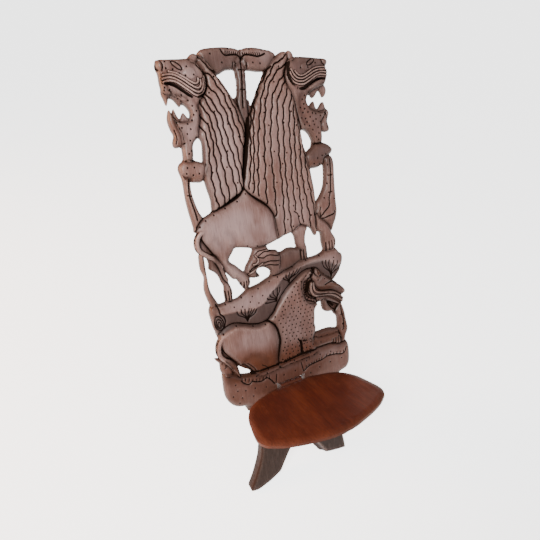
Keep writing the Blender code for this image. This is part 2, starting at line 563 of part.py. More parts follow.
def carve(u, v):
    """The relief at each place: how far inside the wood it is, and its height."""
    inside = np.full(u.shape, OUTSIDE)
    height = np.full(u.shape, GROUND)
    for form in all_forms():
        path = flowing(form.outline, closed=True)
        spot = near(path, u, v, WEB)
        away = distance_to(path, u[spot], v[spot], closed=True)
        depth_in = np.where(is_inside(path, u[spot], v[spot]), away, -away)
        inside[spot] = joined(inside[spot], depth_in)
        face = form.top - form.drop * quarter_round(depth_in, form.edge)
        face = np.where(depth_in > -FACE_REACH, face, OUTSIDE)
        height[spot] = np.maximum(height[spot], face)
    for sink in SINKS:
        path = flowing(sink.outline, closed=True)
        spot = near(path, u, v, 0.0)
        away = distance_to(path, u[spot], v[spot], closed=True)
        share = np.clip(away / sink.edge, 0.0, 1.0)
        share = np.where(is_inside(path, u[spot], v[spot]), share, 0.0)
        height[spot] -= sink.depth * share * share * (3.0 - 2.0 * share)
    for width, depth, path in all_grooves():
        spot = near(path, u, v, width)
        away = distance_to(path, u[spot], v[spot], closed=False)
        height[spot] -= depth * np.clip(1.0 - 2.0 * away / width, 0.0, 1.0)
    for tail in TAILS:
        path = flowing(tail.path, closed=False)
        spot = near(path, u, v, tail.width)
        depth_in = 0.5 * tail.width - distance_to(path, u[spot], v[spot], closed=False)
        inside[spot] = np.maximum(inside[spot], depth_in)
        face = tail.depth - STRAND_FALL * tail.width * quarter_round(depth_in, 0.5 * tail.width)
        height[spot] = np.maximum(height[spot], np.where(depth_in > 0.0, face, OUTSIDE))
    return inside, height


def plain_back(v, inside, front):
    """The height of the plank's back, which is flat but for the chamfers."""
    fade = np.clip((v - CHAMFER_FOOT) / CHAMFER_FADE, 0.0, 1.0)
    chamfer = fade * np.clip(CHAMFER - inside, 0.0, CHAMFER)
    return np.maximum(np.minimum(chamfer - PATTERN_THICK, front - RIM), -PATTERN_THICK)


def crossing(a, b):
    """Where between two samples the wood ends, kept off both of them."""
    return min(max(a / (a - b), SLIVER), 1.0 - SLIVER)


def plate(name, u_axis, v_axis, inside, front, back):
    """A closed body between a front and a back surface, wherever inside is positive."""
    points = []
    numbers = {}
    faces = []
    rims = []

    def corner(row, column):
        key = (row, column)
        if key not in numbers:
            numbers[key] = len(points)
            points.append((u_axis[column], v_axis[row], front[row, column], back[row, column]))
        return numbers[key]

    def edge_point(first, second):
        key = (min(first, second), max(first, second))
        if key not in numbers:
            (ra, ca), (rb, cb) = key
            share = crossing(inside[ra, ca], inside[rb, cb])
            inner, outer = key if inside[ra, ca] > 0.0 else key[::-1]
            # The front keeps falling halfway to its level outside, and never rises
            rim = 0.5 * (front[inner] + min(front[inner], front[outer]))
            numbers[key] = len(points)
            points.append((u_axis[ca] + share * (u_axis[cb] - u_axis[ca]),
                           v_axis[ra] + share * (v_axis[rb] - v_axis[ra]), rim, back[inner]))
        return numbers[key]

    wood = inside > 0.0
    count = (wood[:-1, :-1].astype(int) + wood[:-1, 1:] + wood[1:, :-1] + wood[1:, 1:])
    for row, column in zip(*np.nonzero(count)):
        ring = [(row, column), (row, column + 1), (row + 1, column + 1), (row + 1, column)]
        face = []
        cuts = []
        for first, second in zip(ring, ring[1:] + ring[:1]):
            if wood[first]:
                face.append(corner(*first))
            if wood[first] != wood[second]:
                face.append(edge_point(first, second))
                cuts.append((face[-1], wood[first]))
        faces.append(face)
        for index, (number, leaving) in enumerate(cuts):
            if leaving:
                rims.append((number, cuts[(index + 1) % len(cuts)][0]))

    total = len(points)
    mesh = bpy.data.meshes.new(name)
    verts = [(u, v, top) for u, v, top, _ in points] + [(u, v, low) for u, v, _, low in points]
    shell = [tuple(face) for face in faces]
    shell += [tuple(number + total for number in reversed(face)) for face in faces]
    shell += [(b, a, a + total, b + total) for a, b in rims]
    mesh.from_pydata(verts, [], shell)
    mesh.update()
    return mesh


def keep_largest(mesh):
    """Drop crumbs that the outlines leave beside the main body."""
    body = bmesh.new()
    body.from_mesh(mesh)
    left = set(body.verts)
    islands = []
    while left:
        stack = [left.pop()]
        island = list(stack)
        while stack:
            for edge in stack.pop().link_edges:
                for vert in edge.verts:
                    if vert in left:
                        left.remove(vert)
                        stack.append(vert)
                        island.append(vert)
        islands.append(island)
    islands.sort(key=len)
    for island in islands[:-1]:
        bmesh.ops.delete(body, geom=island, context="VERTS")
    body.to_mesh(mesh)
    body.free()


def cut_flat(mesh, place, upward):
    """Cut off and close what is on the far side of a plane."""
    body = bmesh.new()
    body.from_mesh(mesh)
    geometry = body.verts[:] + body.edges[:] + body.faces[:]
    cut = bmesh.ops.bisect_plane(body, geom=geometry, dist=1e-6, plane_co=place,
                                 plane_no=upward, clear_inner=True)
    rim = [item for item in cut["geom_cut"] if isinstance(item, bmesh.types.BMEdge)]
    bmesh.ops.holes_fill(body, edges=rim, sides=0)
    body.to_mesh(mesh)
    body.free()


def thin_out(mesh, faces):
    """Keep about this many faces, where the form needs them."""
    holder = bpy.data.objects.new("thinning", mesh)
    bpy.context.scene.collection.objects.link(holder)
    triangles = sum(len(face.vertices) - 2 for face in mesh.polygons)
    thin = holder.modifiers.new("thin", "DECIMATE")
    thin.ratio = min(1.0, faces / triangles)
    view = bpy.context.evaluated_depsgraph_get()
    view.update()
    thinned = bpy.data.meshes.new_from_object(holder.evaluated_get(view))
    bpy.data.objects.remove(holder)
    bpy.data.meshes.remove(mesh)
    return thinned


def finish(name, colour, roughness):
    """A plain wood material."""
    material = bpy.data.materials.new(name)
    material.use_nodes = True
    shader = material.node_tree.nodes["Principled BSDF"]
    shader.inputs["Base Color"].default_value = (*colour, 1.0)
    shader.inputs["Roughness"].default_value = roughness
    shader.inputs["Metallic"].default_value = 0.0
    return material


def board_frame():
    """From the plank's own axes (right, up the plank, out of its front) to the world."""
    up = Vector((0.0, math.sin(LEAN), math.cos(LEAN)))
    out = Vector((0.0, -math.cos(LEAN), math.sin(LEAN)))
    return Matrix(((1.0, up.x, out.x, 0.0), (0.0, up.y, out.y, 0.0),
                   (0.0, up.z, out.z, 0.0), (0.0, 0.0, 0.0, 1.0)))


def seat_frame():
    """From the seat's own axes (right, forward, up through it) to the world."""
    lean_back = board_frame()
    forward = lean_back.col[2].to_3d()
    upward = lean_back.col[1].to_3d()
    place = lean_back @ Vector((0.0, SEAT_UP, 0.0))
    return Matrix(((1.0, forward.x, upward.x, place.x), (0.0, forward.y, upward.y, place.y),
                   (0.0, forward.z, upward.z, place.z), (0.0, 0.0, 0.0, 1.0)))


def floor_level():
    """The plank's lowest edge is its back one, and the feet are cut flat a little above."""
    return -BOARD_THICK * math.sin(LEAN) + HEEL_CUT


def back_board():
    """The leaning plank with its relief."""
    wide = BOARD_WIDTH / PATTERN_WIDE
    long = BOARD_LENGTH / PATTERN_LONG
    thick = BOARD_THICK / PATTERN_THICK
    reach = 0.5 * PATTERN_WIDE + MARGIN
    u_line = np.arange(-reach, reach, CARVING_STEP / wide)
    v_line = np.arange(-MARGIN, PATTERN_LONG + MARGIN, CARVING_STEP / long)
    u, v = np.meshgrid(u_line, v_line)
    inside, front = carve(u, v)
    back = plain_back(v, inside, front)
    mesh = plate("back_board", u_line * wide, v_line * long, inside, front * thick,
                 back * thick)
    keep_largest(mesh)
    mesh = thin_out(mesh, BOARD_FACES)
    mesh.transform(board_frame())
    cut_flat(mesh, (0.0, 0.0, floor_level()), (0.0, 0.0, 1.0))
    return mesh


# The seat's outline: how far forward of the plank, as a share of the seat's depth, and
# how wide there, as a share of its width
SEAT_PLAN = [
    (0.0, 0.29), (0.03, 0.44), (0.08, 0.64), (0.165, 0.81), (0.30, 0.92), (0.42, 0.96),
    (0.64, 1.0), (0.75, 0.955), (0.80, 0.88), (0.86, 0.75), (0.91, 0.58), (0.95, 0.40),
    (0.985, 0.2), (1.0, 0.0)]


def seat_outline():
    """The seat's closed outline with its shoulders against the plank, in metres."""
    right = flowing([(0.5 * wide * SEAT_WIDTH, forward * SEAT_DEPTH)
                     for forward, wide in SEAT_PLAN], closed=False, steps=4)
    left = right[-2::-1] * [-1.0, 1.0]
    return np.vstack([right, left])


def seat_board():
    """The seat plank with its tail."""
    drop = (SEAT_UP - SEAT_THICK) * math.cos(LEAN) - floor_level()
    tail_long = drop / math.sin(LEAN) + TAIL_HEEL
    u_line = np.arange(-0.5 * SEAT_WIDTH - SEAT_STEP, 0.5 * SEAT_WIDTH + 1.5 * SEAT_STEP,
                       SEAT_STEP)
    s_line = np.arange(-tail_long - SEAT_STEP, SEAT_DEPTH + 1.5 * SEAT_STEP, SEAT_STEP)
    u, s = np.meshgrid(u_line, s_line)
    outline = seat_outline()
    away = distance_to(outline, u, s, closed=True)
    on_seat = np.where(is_inside(outline, u, s), away, -away)
    on_seat = np.minimum(on_seat, s - CLEARANCE)
    # The tail runs a little way into the seat, and its own sides are sawn square
    on_tail = np.minimum(0.5 * TAIL_WIDTH - np.abs(u), s + tail_long)
    on_tail = np.where(s < SEAT_RIM, on_tail, -SEAT_WIDTH)
    inside = np.maximum(on_seat, on_tail)
    rim = np.where(s > 0.0, np.clip(on_seat, 0.0, None), SEAT_RIM)
    dish = SEAT_DISH * np.clip(on_seat / SEAT_DISH_EDGE, 0.0, 1.0) ** SEAT_DISH_BEND
    top = -SEAT_RIM_DROP * quarter_round(rim, SEAT_RIM) - dish
    # The bevel underneath follows the free outline, not the side against the plank
    free = distance_to(outline, u, s, closed=False)
    bevel = np.clip(1.0 - free / SEAT_UNDERCUT, 0.0, 1.0) * np.clip(s / SEAT_ROOT, 0.0, 1.0)
    low = -SEAT_THICK + (SEAT_THICK - SEAT_RIM_DROP - SEAT_EDGE) * bevel
    mesh = plate("seat_board", u_line, s_line, inside, top, low)
    keep_largest(mesh)
    mesh = thin_out(mesh, SEAT_FACES)
    mesh.transform(seat_frame())
    # The seat's own axes are left-handed
    mesh.flip_normals()
    cut_flat(mesh, (0.0, 0.0, floor_level()), (0.0, 0.0, 1.0))
    return mesh


def slot_cutter():
    """A block the size of the slot, through the plank."""
    high = SEAT_THICK + CLEARANCE + SLOT_TOP_GAP
    wide = TAIL_WIDTH + 2.0 * SLOT_SIDE_GAP
    middle = SEAT_UP - SEAT_THICK - CLEARANCE + 0.5 * high
    mesh = bpy.data.meshes.new("slot_cutter")
    body = bmesh.new()
    bmesh.ops.create_cube(body, size=1.0)
    body.to_mesh(mesh)
    body.free()
    mesh.transform(Matrix.Translation((0.0, middle, -0.5 * BOARD_THICK))
                   @ Matrix.Diagonal((wide, high, 3.0 * BOARD_THICK, 1.0)))
    mesh.transform(board_frame())
    return mesh


def add_object(name, mesh, collection):
    """An object that shows the mesh."""
    item = bpy.data.objects.new(name, mesh)
    collection.objects.link(item)
    return item


def stand_on_origin(items):
    """Move everything so that the middle of the whole box's underside is the origin."""
    parts = [item for item in items if not item.hide_render]
    points = np.array([vert.co[:] for item in parts for vert in item.data.vertices])
    low = points.min(axis=0)
    high = points.max(axis=0)
    shift = Matrix.Translation((-0.5 * (low[0] + high[0]), -0.5 * (low[1] + high[1]), -low[2]))
    for item in items:
        item.data.transform(shift)


def build():
    """Make the chair."""
    for item in list(bpy.data.objects):
        bpy.data.objects.remove(item)
    parts = bpy.data.collections.new("chief_chair")
    cutters = bpy.data.collections.new("cutters")
    bpy.context.scene.collection.children.link(parts)
    bpy.context.scene.collection.children.link(cutters)

    board = add_object("back_board", back_board(), parts)
    seat = add_object("seat_board", seat_board(), parts)
    slot = add_object("slot_cutter", slot_cutter(), cutters)
    slot.hide_render = True
    slot.display_type = "WIRE"

    opening = board.modifiers.new("slot", "BOOLEAN")
    opening.operation = "DIFFERENCE"
    opening.solver = "EXACT"
    opening.object = slot

    board.data.materials.append(finish("carved_wood", (0.21, 0.13, 0.10), 0.62))
    seat.data.materials.append(finish("seat_wood", (0.13, 0.045, 0.018), 0.42))
    stand_on_origin([board, seat, slot])


build()
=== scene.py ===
"""The looks of a carved chief chair: its two planks as finely carved meshes with wood
finishes, on a pale floor in soft light, seen as the photograph sees it.

The carving is drawn flat, in millimetres: u runs right from the middle line, v runs up
the plank from the feet, and heights are measured out of its front.
"""

import math
from collections import namedtuple

import bmesh
import bpy
import numpy as np
from mathutils import Matrix, Vector


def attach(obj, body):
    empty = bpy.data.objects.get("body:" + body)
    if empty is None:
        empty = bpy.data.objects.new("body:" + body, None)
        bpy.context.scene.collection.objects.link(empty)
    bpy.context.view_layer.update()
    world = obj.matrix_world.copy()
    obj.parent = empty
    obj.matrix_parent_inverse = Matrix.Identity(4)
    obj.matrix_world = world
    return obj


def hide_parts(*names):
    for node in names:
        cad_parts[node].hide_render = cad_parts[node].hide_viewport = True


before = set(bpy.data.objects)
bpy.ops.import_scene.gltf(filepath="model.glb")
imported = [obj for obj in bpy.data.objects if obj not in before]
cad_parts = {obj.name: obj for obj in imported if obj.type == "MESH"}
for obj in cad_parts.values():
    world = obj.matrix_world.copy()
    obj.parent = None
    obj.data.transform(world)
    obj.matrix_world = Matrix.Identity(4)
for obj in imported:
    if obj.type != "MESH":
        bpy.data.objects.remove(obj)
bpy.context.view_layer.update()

# The two planks, in metres, as the solids have them
MM = 0.001
BOARD_LENGTH = 1.214
BOARD_WIDTH = 0.446
BOARD_THICK = 0.034
LEAN = math.radians(26.5)
SEAT_UP = 0.316
SEAT_THICK = 0.027
SEAT_WIDTH = 0.372
SEAT_DEPTH = 0.262
SEAT_DISH = 0.004
SEAT_RIM = 0.017
SEAT_RIM_DROP = 0.006
SEAT_EDGE = 0.006
SEAT_UNDERCUT = 0.034
SEAT_ROOT = 0.030
TAIL_WIDTH = 0.070
TAIL_HEEL = 0.026
SLOT_SIDE_GAP = 0.012
SLOT_TOP_GAP = 0.008
CLEARANCE = 0.0003

# The way right, and where the middle of the plank's foot line is
RIGHT = Vector((1.0, 0.0, 0.0))
PLACE = Vector((-0.002835, -0.302523, 0.011171))

# The camera, from the photograph's perspective. The photo's width and the focal length
# are in its pixels, the sensor is in millimetres, and places and distances are in metres
CAMERA_PLACE = Vector((-0.414075, -0.714663, 1.243361))
CAMERA_YAW = math.radians(28.975)
CAMERA_PITCH = math.radians(38.3)
CAMERA_ROLL = math.radians(-5.0)
PHOTO_WIDE = 540.0
FOCAL_LENGTH = 380.0
SENSOR = 36.0
NEAREST = 0.05
FARTHEST = 1000.0

# How finely the carving is sampled, in millimetres, and how many triangles are kept
CARVING_STEP = 1.35
SEAT_STEP = 2.2
BOARD_TRIANGLES = 192000
SEAT_TRIANGLES = 60000
# Edges sharper than this aren't smoothed over
SHARP_ANGLE = math.radians(48.0)

# The plank on which the carving is drawn, in millimetres, and the ground of its relief
PATTERN_WIDE = 446.0
PATTERN_LONG = 1214.0
PATTERN_THICK = 34.0
GROUND = -17.0
# The empty margin of samples round the plank
SIDE_MARGIN = 13.0
END_MARGIN = 6.0
# Webs join the edges of forms that nearly meet
WEB = 7.0
# A form's face counts so far outside its outline, and forms and sunk parts are worked
# out on the samples so far outside theirs
FACE_REACH = 1.0
FORM_REACH = 16.0
SINK_REACH = 3.0
# A cut edge keeps this share of a sample's step from the samples beside it
SLIVER = 0.1
# A depth far outside the wood, and a number that only guards a division
OUTSIDE = -1000.0
TINY = 1e-9
# Behind, the pierced gaps are chamfered so far in, and their rims are so thick; the
# chamfer fades out above the seat, towards the square-edged legs
CHAMFER = 13.0
RIM = 7.0
CHAMFER_FOOT = 300.0
CHAMFER_FADE = 40.0
# In front, above the seat, forms more than so far above the ground are rounded towards
# the gaps, so deep and from so far in
ROUND_FROM = 3.0
ROUND_DROP = 4.0
ROUND_EDGE = 9.0

# Smooth noise is drawn on a sheet so large, which starts so far left of the middle line
# and so far below the feet
NOISE_WIDE = 700.0
NOISE_LONG = 1400.0
NOISE_LEFT = 300.0
NOISE_FOOT = 60.0
# Layers of that noise: each a depth, the size of its patches across and along, and a seed
WANDER_ACROSS = [(0.5, 17.0, 23.0, 1)]
WANDER_ALONG = [(0.5, 19.0, 21.0, 2)]
FACETS = [(0.22, 7.0, 26.0, 3), (0.12, 3.6, 11.0, 4)]
BROAD_FACETS = [(0.35, 38.0, 60.0, 5)]
SCALLOPS = [(0.7, 34.0, 52.0, 11), (0.2, 9.0, 40.0, 12)]
CHIPS = [(2.6, 5.0, 400.0, 31), (1.6, 2.4, 400.0, 32)]
SEAT_RIPPLES = [(0.22, 30.0, 60.0, 21), (0.10, 6.0, 40.0, 22)]
# The slot's chipped edge and the seat's rippled face are lowered so far, and the seat's
# ripples are drawn from so far up the sheet
CHIP_DROP = 1.0
RIPPLE_DROP = 0.3
RIPPLE_PLACE = 300.0

# Locks of hair swing so far to each side, once in so long a way
LOCK_SWING = 1.6
LOCK_WAVE = 44.0
# Each kind of cut line is so wide and so deep, and a line of the drawing at most so wide
LOCK_CUT = (5.2, 4.4)
OVAL_CUT = (3.8, 3.0)
TOE_CUT = (4.2, 3.6)
STEM_CUT = (4.0, 3.0)
TICK_CUT = (3.6, 2.8)
ROW_CUT = (3.2, 2.4)
WIDEST_LINE = 5.2
# Along the cuts, painted shade with some grime
CUT_GRIME_AND_SHADE = 0.45

# The dark line along a form's outline: how far in its middle is, how wide each side of it
# is, and how far in it shows on a form that lies higher. The painted shade with some grime
# beside a form fades out over its reach
RIM_INSET = 0.3
RIM_INK = 1.9
RIM_REACH = 0.5
GRIME_AND_SHADE_REACH = 6.5
# Both fade out at the open air: from where, over how far, and how much of the painted shade and
# grime is left
AIR_RIM = 1.5
AIR_FADE = 3.0
AIR_GRIME_AND_SHADE = 0.35
# Painted shade with some grime in the valleys and round the domes, and the line along the round
# folds
VALLEY_GRIME_AND_SHADE = 0.15
DOME_GRIME_AND_SHADE = 0.12
DOME_FOOT = 0.4
FOLD_LINE = 1.2
FOLD_DEPTH = 1.6
# The lions' tails: how far their sides fall, their dark line, and the painted shade with some grime
# along their edges
TAIL_FALL = 8.0
TAIL_INK = 1.8
TAIL_GRIME_AND_SHADE = 0.4
TAIL_GRIME_AND_SHADE_REACH = 2.0
# Pricked pits: their half width and depth, how much longer than wide they are, how far
# they reach, and how far from its place in its row, in shares of a step, a pit strays
PIT_SIZE = 2.4
PIT_DEPTH = 2.0
PIT_STRETCH = 1.15
PIT_REACH = 4.0
PIT_STRAY = 0.22

# What the finish reads from the form: over how wide a mean a place is high or low, how deep a
# hollow is when its painted shade shows in full, and how high a crest is when its painted
# highlight shows in full
BLUR = 4.0
HOLLOW_DEPTH = 3.0
CREST_RISE = 1.6
# The carving's paint starts over this share of the thickness, from the back
FRONT_FADE = 0.25
# The legs' smooth finish starts so far up the plank and is complete so far below that
LEG_TOP = 300.0
LEG_FADE = 30.0

# The seat's dish deepens over this share of its width, by this power
DISH_REACH = 0.25
DISH_POWER = 0.7
# The fall of the seat's rim, as shares that each rise by a power towards the edge
RIM_FALL = [(0.62, 1.3), (0.38, 5)]
# The tail starts within the seat, at this share of its depth
TAIL_ROOT = 0.1
# The rim is worn, and carries a painted highlight, on its right, in full from this share of
# the width, and mostly at its very edge
RIGHT_REACH = 0.2
RUB_POWER = 7

# The carved plank's colours
BOARD_STREAKS = [(0.28, (0.115, 0.054, 0.043)), (0.50, (0.152, 0.078, 0.064)),
                 (0.74, (0.200, 0.110, 0.095))]
LEG_STREAKS = [(0.32, (0.011, 0.005, 0.003)), (0.50, (0.023, 0.012, 0.008)),
               (0.70, (0.036, 0.021, 0.016))]
BROWN_PATCH = (0.112, 0.050, 0.038)
# Painted highlight on the pale places
HIGHLIGHT_GREY = (0.275, 0.186, 0.178)
SCRATCH_PALE = (0.34, 0.23, 0.20)
# Painted highlight, with some wear, on the crests
CREST_WORN_AND_LIT = (0.38, 0.255, 0.215)
SHADE_GREY = (0.034, 0.022, 0.020)
# Redder wood, and on some left edges painted warm light
LOW_RED = (0.074, 0.020, 0.007)
PORE_BROWN = (0.055, 0.028, 0.021)
RAW_SIDE = (0.105, 0.042, 0.022)
LEG_SIDE = (0.010, 0.005, 0.003)
BACK_DARK = (0.011, 0.006, 0.004)
# The dirt colour paints shade with some dirt beside the forms, and the stain colour paints shade in
# the hollows
DIRT_AND_SHADE = (0.026, 0.011, 0.007)
HOLLOW_SHADE = (0.035, 0.017, 0.012)
# Ink darkens the cuts, and some lines that are painted shadow
INK = (0.006, 0.003, 0.002)

# The seat's colours
SEAT_STREAKS = [(0.30, (0.040, 0.008, 0.004)), (0.50, (0.064, 0.0145, 0.007)),
                (0.68, (0.084, 0.022, 0.010)), (0.84, (0.110, 0.036, 0.018))]
SEAT_PATCH = (0.044, 0.010, 0.006)
SEAT_WORN = (0.105, 0.038, 0.022)
SEAT_SCUFF = (0.130, 0.050, 0.028)
# Painted highlight, with some wear, at the rim's right edge
SEAT_RIM_WORN_AND_LIT = (0.190, 0.100, 0.066)
SEAT_PORE = (0.016, 0.005, 0.003)
SEAT_UNDER = (0.105, 0.050, 0.030)

# The floor's colour and half its width, and its glow: how strong in front, how much more
# behind, and the two places forward and back between which it changes
WHITE = (1.0, 1.0, 1.0, 1.0)
FLOOR_GREY = (0.55, 0.55, 0.55, 1.0)
FLOOR_HALF = 400.0
GLOW = 0.45
GLOW_MORE = 2.6
GLOW_FRONT = -2.4
GLOW_BACK = -0.3

# Each lamp's name, place, aim, size, power and colour: a soft key from the left and in
# front, a warm one from the left and behind, and a cool one from the right and in front
LAMPS = [
    ("key", (-1.3, -1.0, 2.2), (0.0, 0.0, 0.6), 0.7, 102.0, (1.0, 0.98, 0.96)),
    ("warm_side", (-2.6, 0.9, 1.4), (0.0, 0.0, 0.6), 1.0, 150.0, (1.0, 0.52, 0.24)),
    ("cool_sheen", (2.2, -2.2, 2.4), (0.0, 0.0, 0.8), 1.2, 22.0, (0.76, 0.86, 1.0)),
]
SURROUNDINGS = 0.22

Form = namedtuple("Form", "name top edge drop outline")
Sink = namedtuple("Sink", "name depth edge outline")
Groove = namedtuple("Groove", "width depth path")

TREE = [
    Form("left crown", -4, 12, 8, [
        (-119, 1196), (-117, 1205), (-104, 1211), (-70, 1214), (-36, 1213), (-16, 1206),
        (-14, 1180), (-36, 1167), (-57, 1165), (-76, 1156), (-100, 1160)]),
    Form("right crown", -4, 12, 8, [
        (-16, 1206), (-8, 1210), (2, 1213), (26, 1213), (52, 1209), (67, 1206), (80, 1194),
        (62, 1168), (36, 1160), (8, 1163), (-12, 1169)]),
    Form("trunk", -7, 10, 7, [
        (-33, 1180), (-32, 1141), (-35, 1114), (-40, 1089), (-32, 1052), (-24, 1036),
        (-16, 1052), (-13, 1089), (-10, 1114), (-8, 1141), (-7, 1180), (-20, 1190)]),
    Form("hollow between the manes", GROUND, 2, 1, [
        (-52, 1100), (-5, 1095), (-16, 1040), (-30, 960), (-46, 875), (-66, 875),
        (-64, 950), (-46, 1000), (-40, 1050)]),
]

# The wood left behind the joints between neighbouring forms
BACKING = [
    Form("upper backing", GROUND, 2, 1, [
        (-136, 1080), (-112, 1120), (-116, 1180), (-92, 1160), (-60, 1115), (-38, 1060),
        (-24, 1030), (-10, 1060), (30, 1130), (66, 1176), (108, 1192), (128, 1180),
        (108, 1130), (126, 1080), (134, 1025), (124, 1000), (140, 900), (146, 800),
        (152, 780), (135, 752), (90, 770), (15, 750), (-80, 745), (-140, 760), (-176, 800),
        (-176, 818), (-138, 848), (-144, 890), (-148, 930), (-136, 1000), (-142, 1030),
        (-134, 1050)]),
    Form("lower backing", GROUND, 2, 1, [
        (-182, 505), (-176, 540), (-100, 550), (-40, 540), (0, 590), (60, 640), (120, 650),
        (140, 630), (110, 600), (98, 540), (98, 440), (110, 425), (180, 420), (196, 400),
        (196, 370), (100, 360), (0, 360), (-100, 360), (-150, 376), (-170, 396),
        (-150, 384), (-112, 372), (-120, 390), (-140, 405), (-178, 455)]),
    Form("joint of knob and chin, left", GROUND, 2, 1, [
        (-192, 975), (-176, 975), (-170, 955), (-195, 955)]),
    Form("joint of knob and chin, right", GROUND, 2, 1, [
        (167, 985), (188, 985), (192, 968), (164, 968)]),
]

LEFT_HEAD = [
    Form("head", 0, 11, 10, [
        (-219, 1184), (-211, 1188), (-147, 1190), (-134, 1187), (-121, 1173), (-113, 1150),
        (-115, 1125), (-126, 1106), (-137, 1090), (-136, 1072), (-141, 1050), (-146, 1032),
        (-151, 1020), (-163, 1009), (-168, 998), (-170, 980), (-175, 966), (-183, 962),
        (-191, 966), (-195, 976), (-194, 1000), (-195, 1025), (-200, 1048), (-203, 1068),
        (-196, 1061), (-186, 1057), (-174, 1056), (-164, 1063), (-161, 1078), (-169, 1091),
        (-180, 1101), (-195, 1112), (-214, 1117), (-218, 1140), (-218, 1160), (-221, 1173)]),
    Form("ear", -3, 7, 7, [
        (-146, 1186), (-142, 1195), (-134, 1200), (-125, 1199), (-120, 1192), (-128, 1180),
        (-138, 1178)]),
    Form("upper canine", -8, 5, 5, [
        (-216, 1124), (-215, 1108), (-210, 1094), (-204, 1108), (-198, 1120)]),
    Form("upper tooth", -8, 5, 5, [
        (-200, 1116), (-191, 1103), (-182, 1090), (-177, 1095), (-168, 1104)]),
    Form("lower canine", -8, 5, 5, [
        (-205, 1058), (-202, 1073), (-197, 1087), (-192, 1072), (-186, 1056)]),
    Form("lower tooth", -8, 5, 5, [
        (-188, 1055), (-184, 1066), (-177, 1077), (-170, 1069), (-164, 1056)]),
    Form("lip", -3, 8, 9, [
        (-208, 1085), (-214, 1070), (-215, 1056), (-212, 1041), (-208, 1028), (-213, 1013),
        (-211, 1002), (-200, 1001), (-190, 1008), (-190, 1030), (-197, 1050), (-202, 1072)]),
]

LEFT_MANE = [
    Form("mane", -2, 14, 10, [
        (-122, 1194), (-110, 1189), (-92, 1166), (-75, 1145), (-58, 1117), (-44, 1088),
        (-32, 1056), (-29, 1038), (-33, 1008), (-42, 978), (-49, 945), (-53, 920),
        (-60, 884), (-90, 866), (-115, 852), (-145, 840), (-146, 870), (-151, 900),
        (-154, 930), (-150, 958), (-146, 985), (-144, 1008), (-149, 1024), (-140, 1050),
        (-136, 1070), (-139, 1092), (-126, 1110), (-113, 1132), (-114, 1165), (-128, 1182)]),
]

RIGHT_HEAD = [
    Form("head", 0, 11, 10, [
        (110, 1185), (128, 1191), (160, 1191), (194, 1188), (217, 1186), (226, 1180),
        (226, 1172), (221, 1164), (225, 1155), (224, 1143), (220, 1132), (212, 1121),
        (197, 1116), (180, 1110), (165, 1102), (157, 1094), (154, 1084), (159, 1072),
        (169, 1062), (181, 1058), (196, 1058), (211, 1061), (212, 1054), (203, 1043),
        (193, 1029), (192, 1010), (192, 995), (189, 980), (181, 974), (169, 975),
        (163, 982), (157, 997), (149, 1008), (139, 1014), (129, 1016), (124, 1035),
        (120, 1060), (116, 1085), (108, 1108), (99, 1126), (96, 1145), (101, 1166)]),
    Form("ear", -3, 7, 7, [
        (110, 1196), (112, 1203), (117, 1206), (125, 1201), (129, 1191), (122, 1181),
        (112, 1184)]),
    Form("upper canine", -8, 5, 5, [
        (197, 1120), (214, 1124), (221, 1107), (211, 1092), (204, 1104)]),
    Form("upper tooth", -8, 5, 5, [
        (199, 1118), (190, 1103), (179, 1092), (170, 1101), (162, 1106)]),
    Form("lower tooth", -8, 5, 5, [
        (158, 1066), (168, 1076), (178, 1084), (182, 1070), (187, 1056)]),
    Form("lower canine", -8, 5, 5, [
        (184, 1055), (196, 1070), (207, 1081), (212, 1070), (213, 1056)]),
    Form("lip", -3, 8, 9, [
        (211, 1063), (220, 1056), (220, 1045), (214, 1030), (218, 1013), (215, 1005),
        (204, 1004), (193, 1010), (192, 1026), (202, 1042), (208, 1052)]),
]

RIGHT_MANE = [
    Form("mane", -2, 14, 10, [
        (80, 1194), (95, 1203), (109, 1203), (113, 1190), (106, 1172), (97, 1158),
        (97, 1140), (105, 1122), (115, 1112), (120, 1088), (124, 1050), (128, 1020),
        (131, 998), (133, 972), (138, 955), (145, 914), (148, 890), (151, 854),
        (152, 822), (150, 795), (152, 775), (146, 755), (147, 742), (140, 726),
        (129, 747), (117, 757), (98, 764), (82, 754), (66, 750), (40, 744), (20, 739),
        (16, 770), (16, 801), (11, 818), (2, 832), (-10, 845), (-28, 858), (-46, 874),
        (-56, 888), (-52, 908), (-45, 932), (-40, 960), (-32, 985), (-24, 1012),
        (-22, 1040), (-15, 1060), (4, 1088), (17, 1110), (33, 1138), (47, 1160), (64, 1182)]),
]

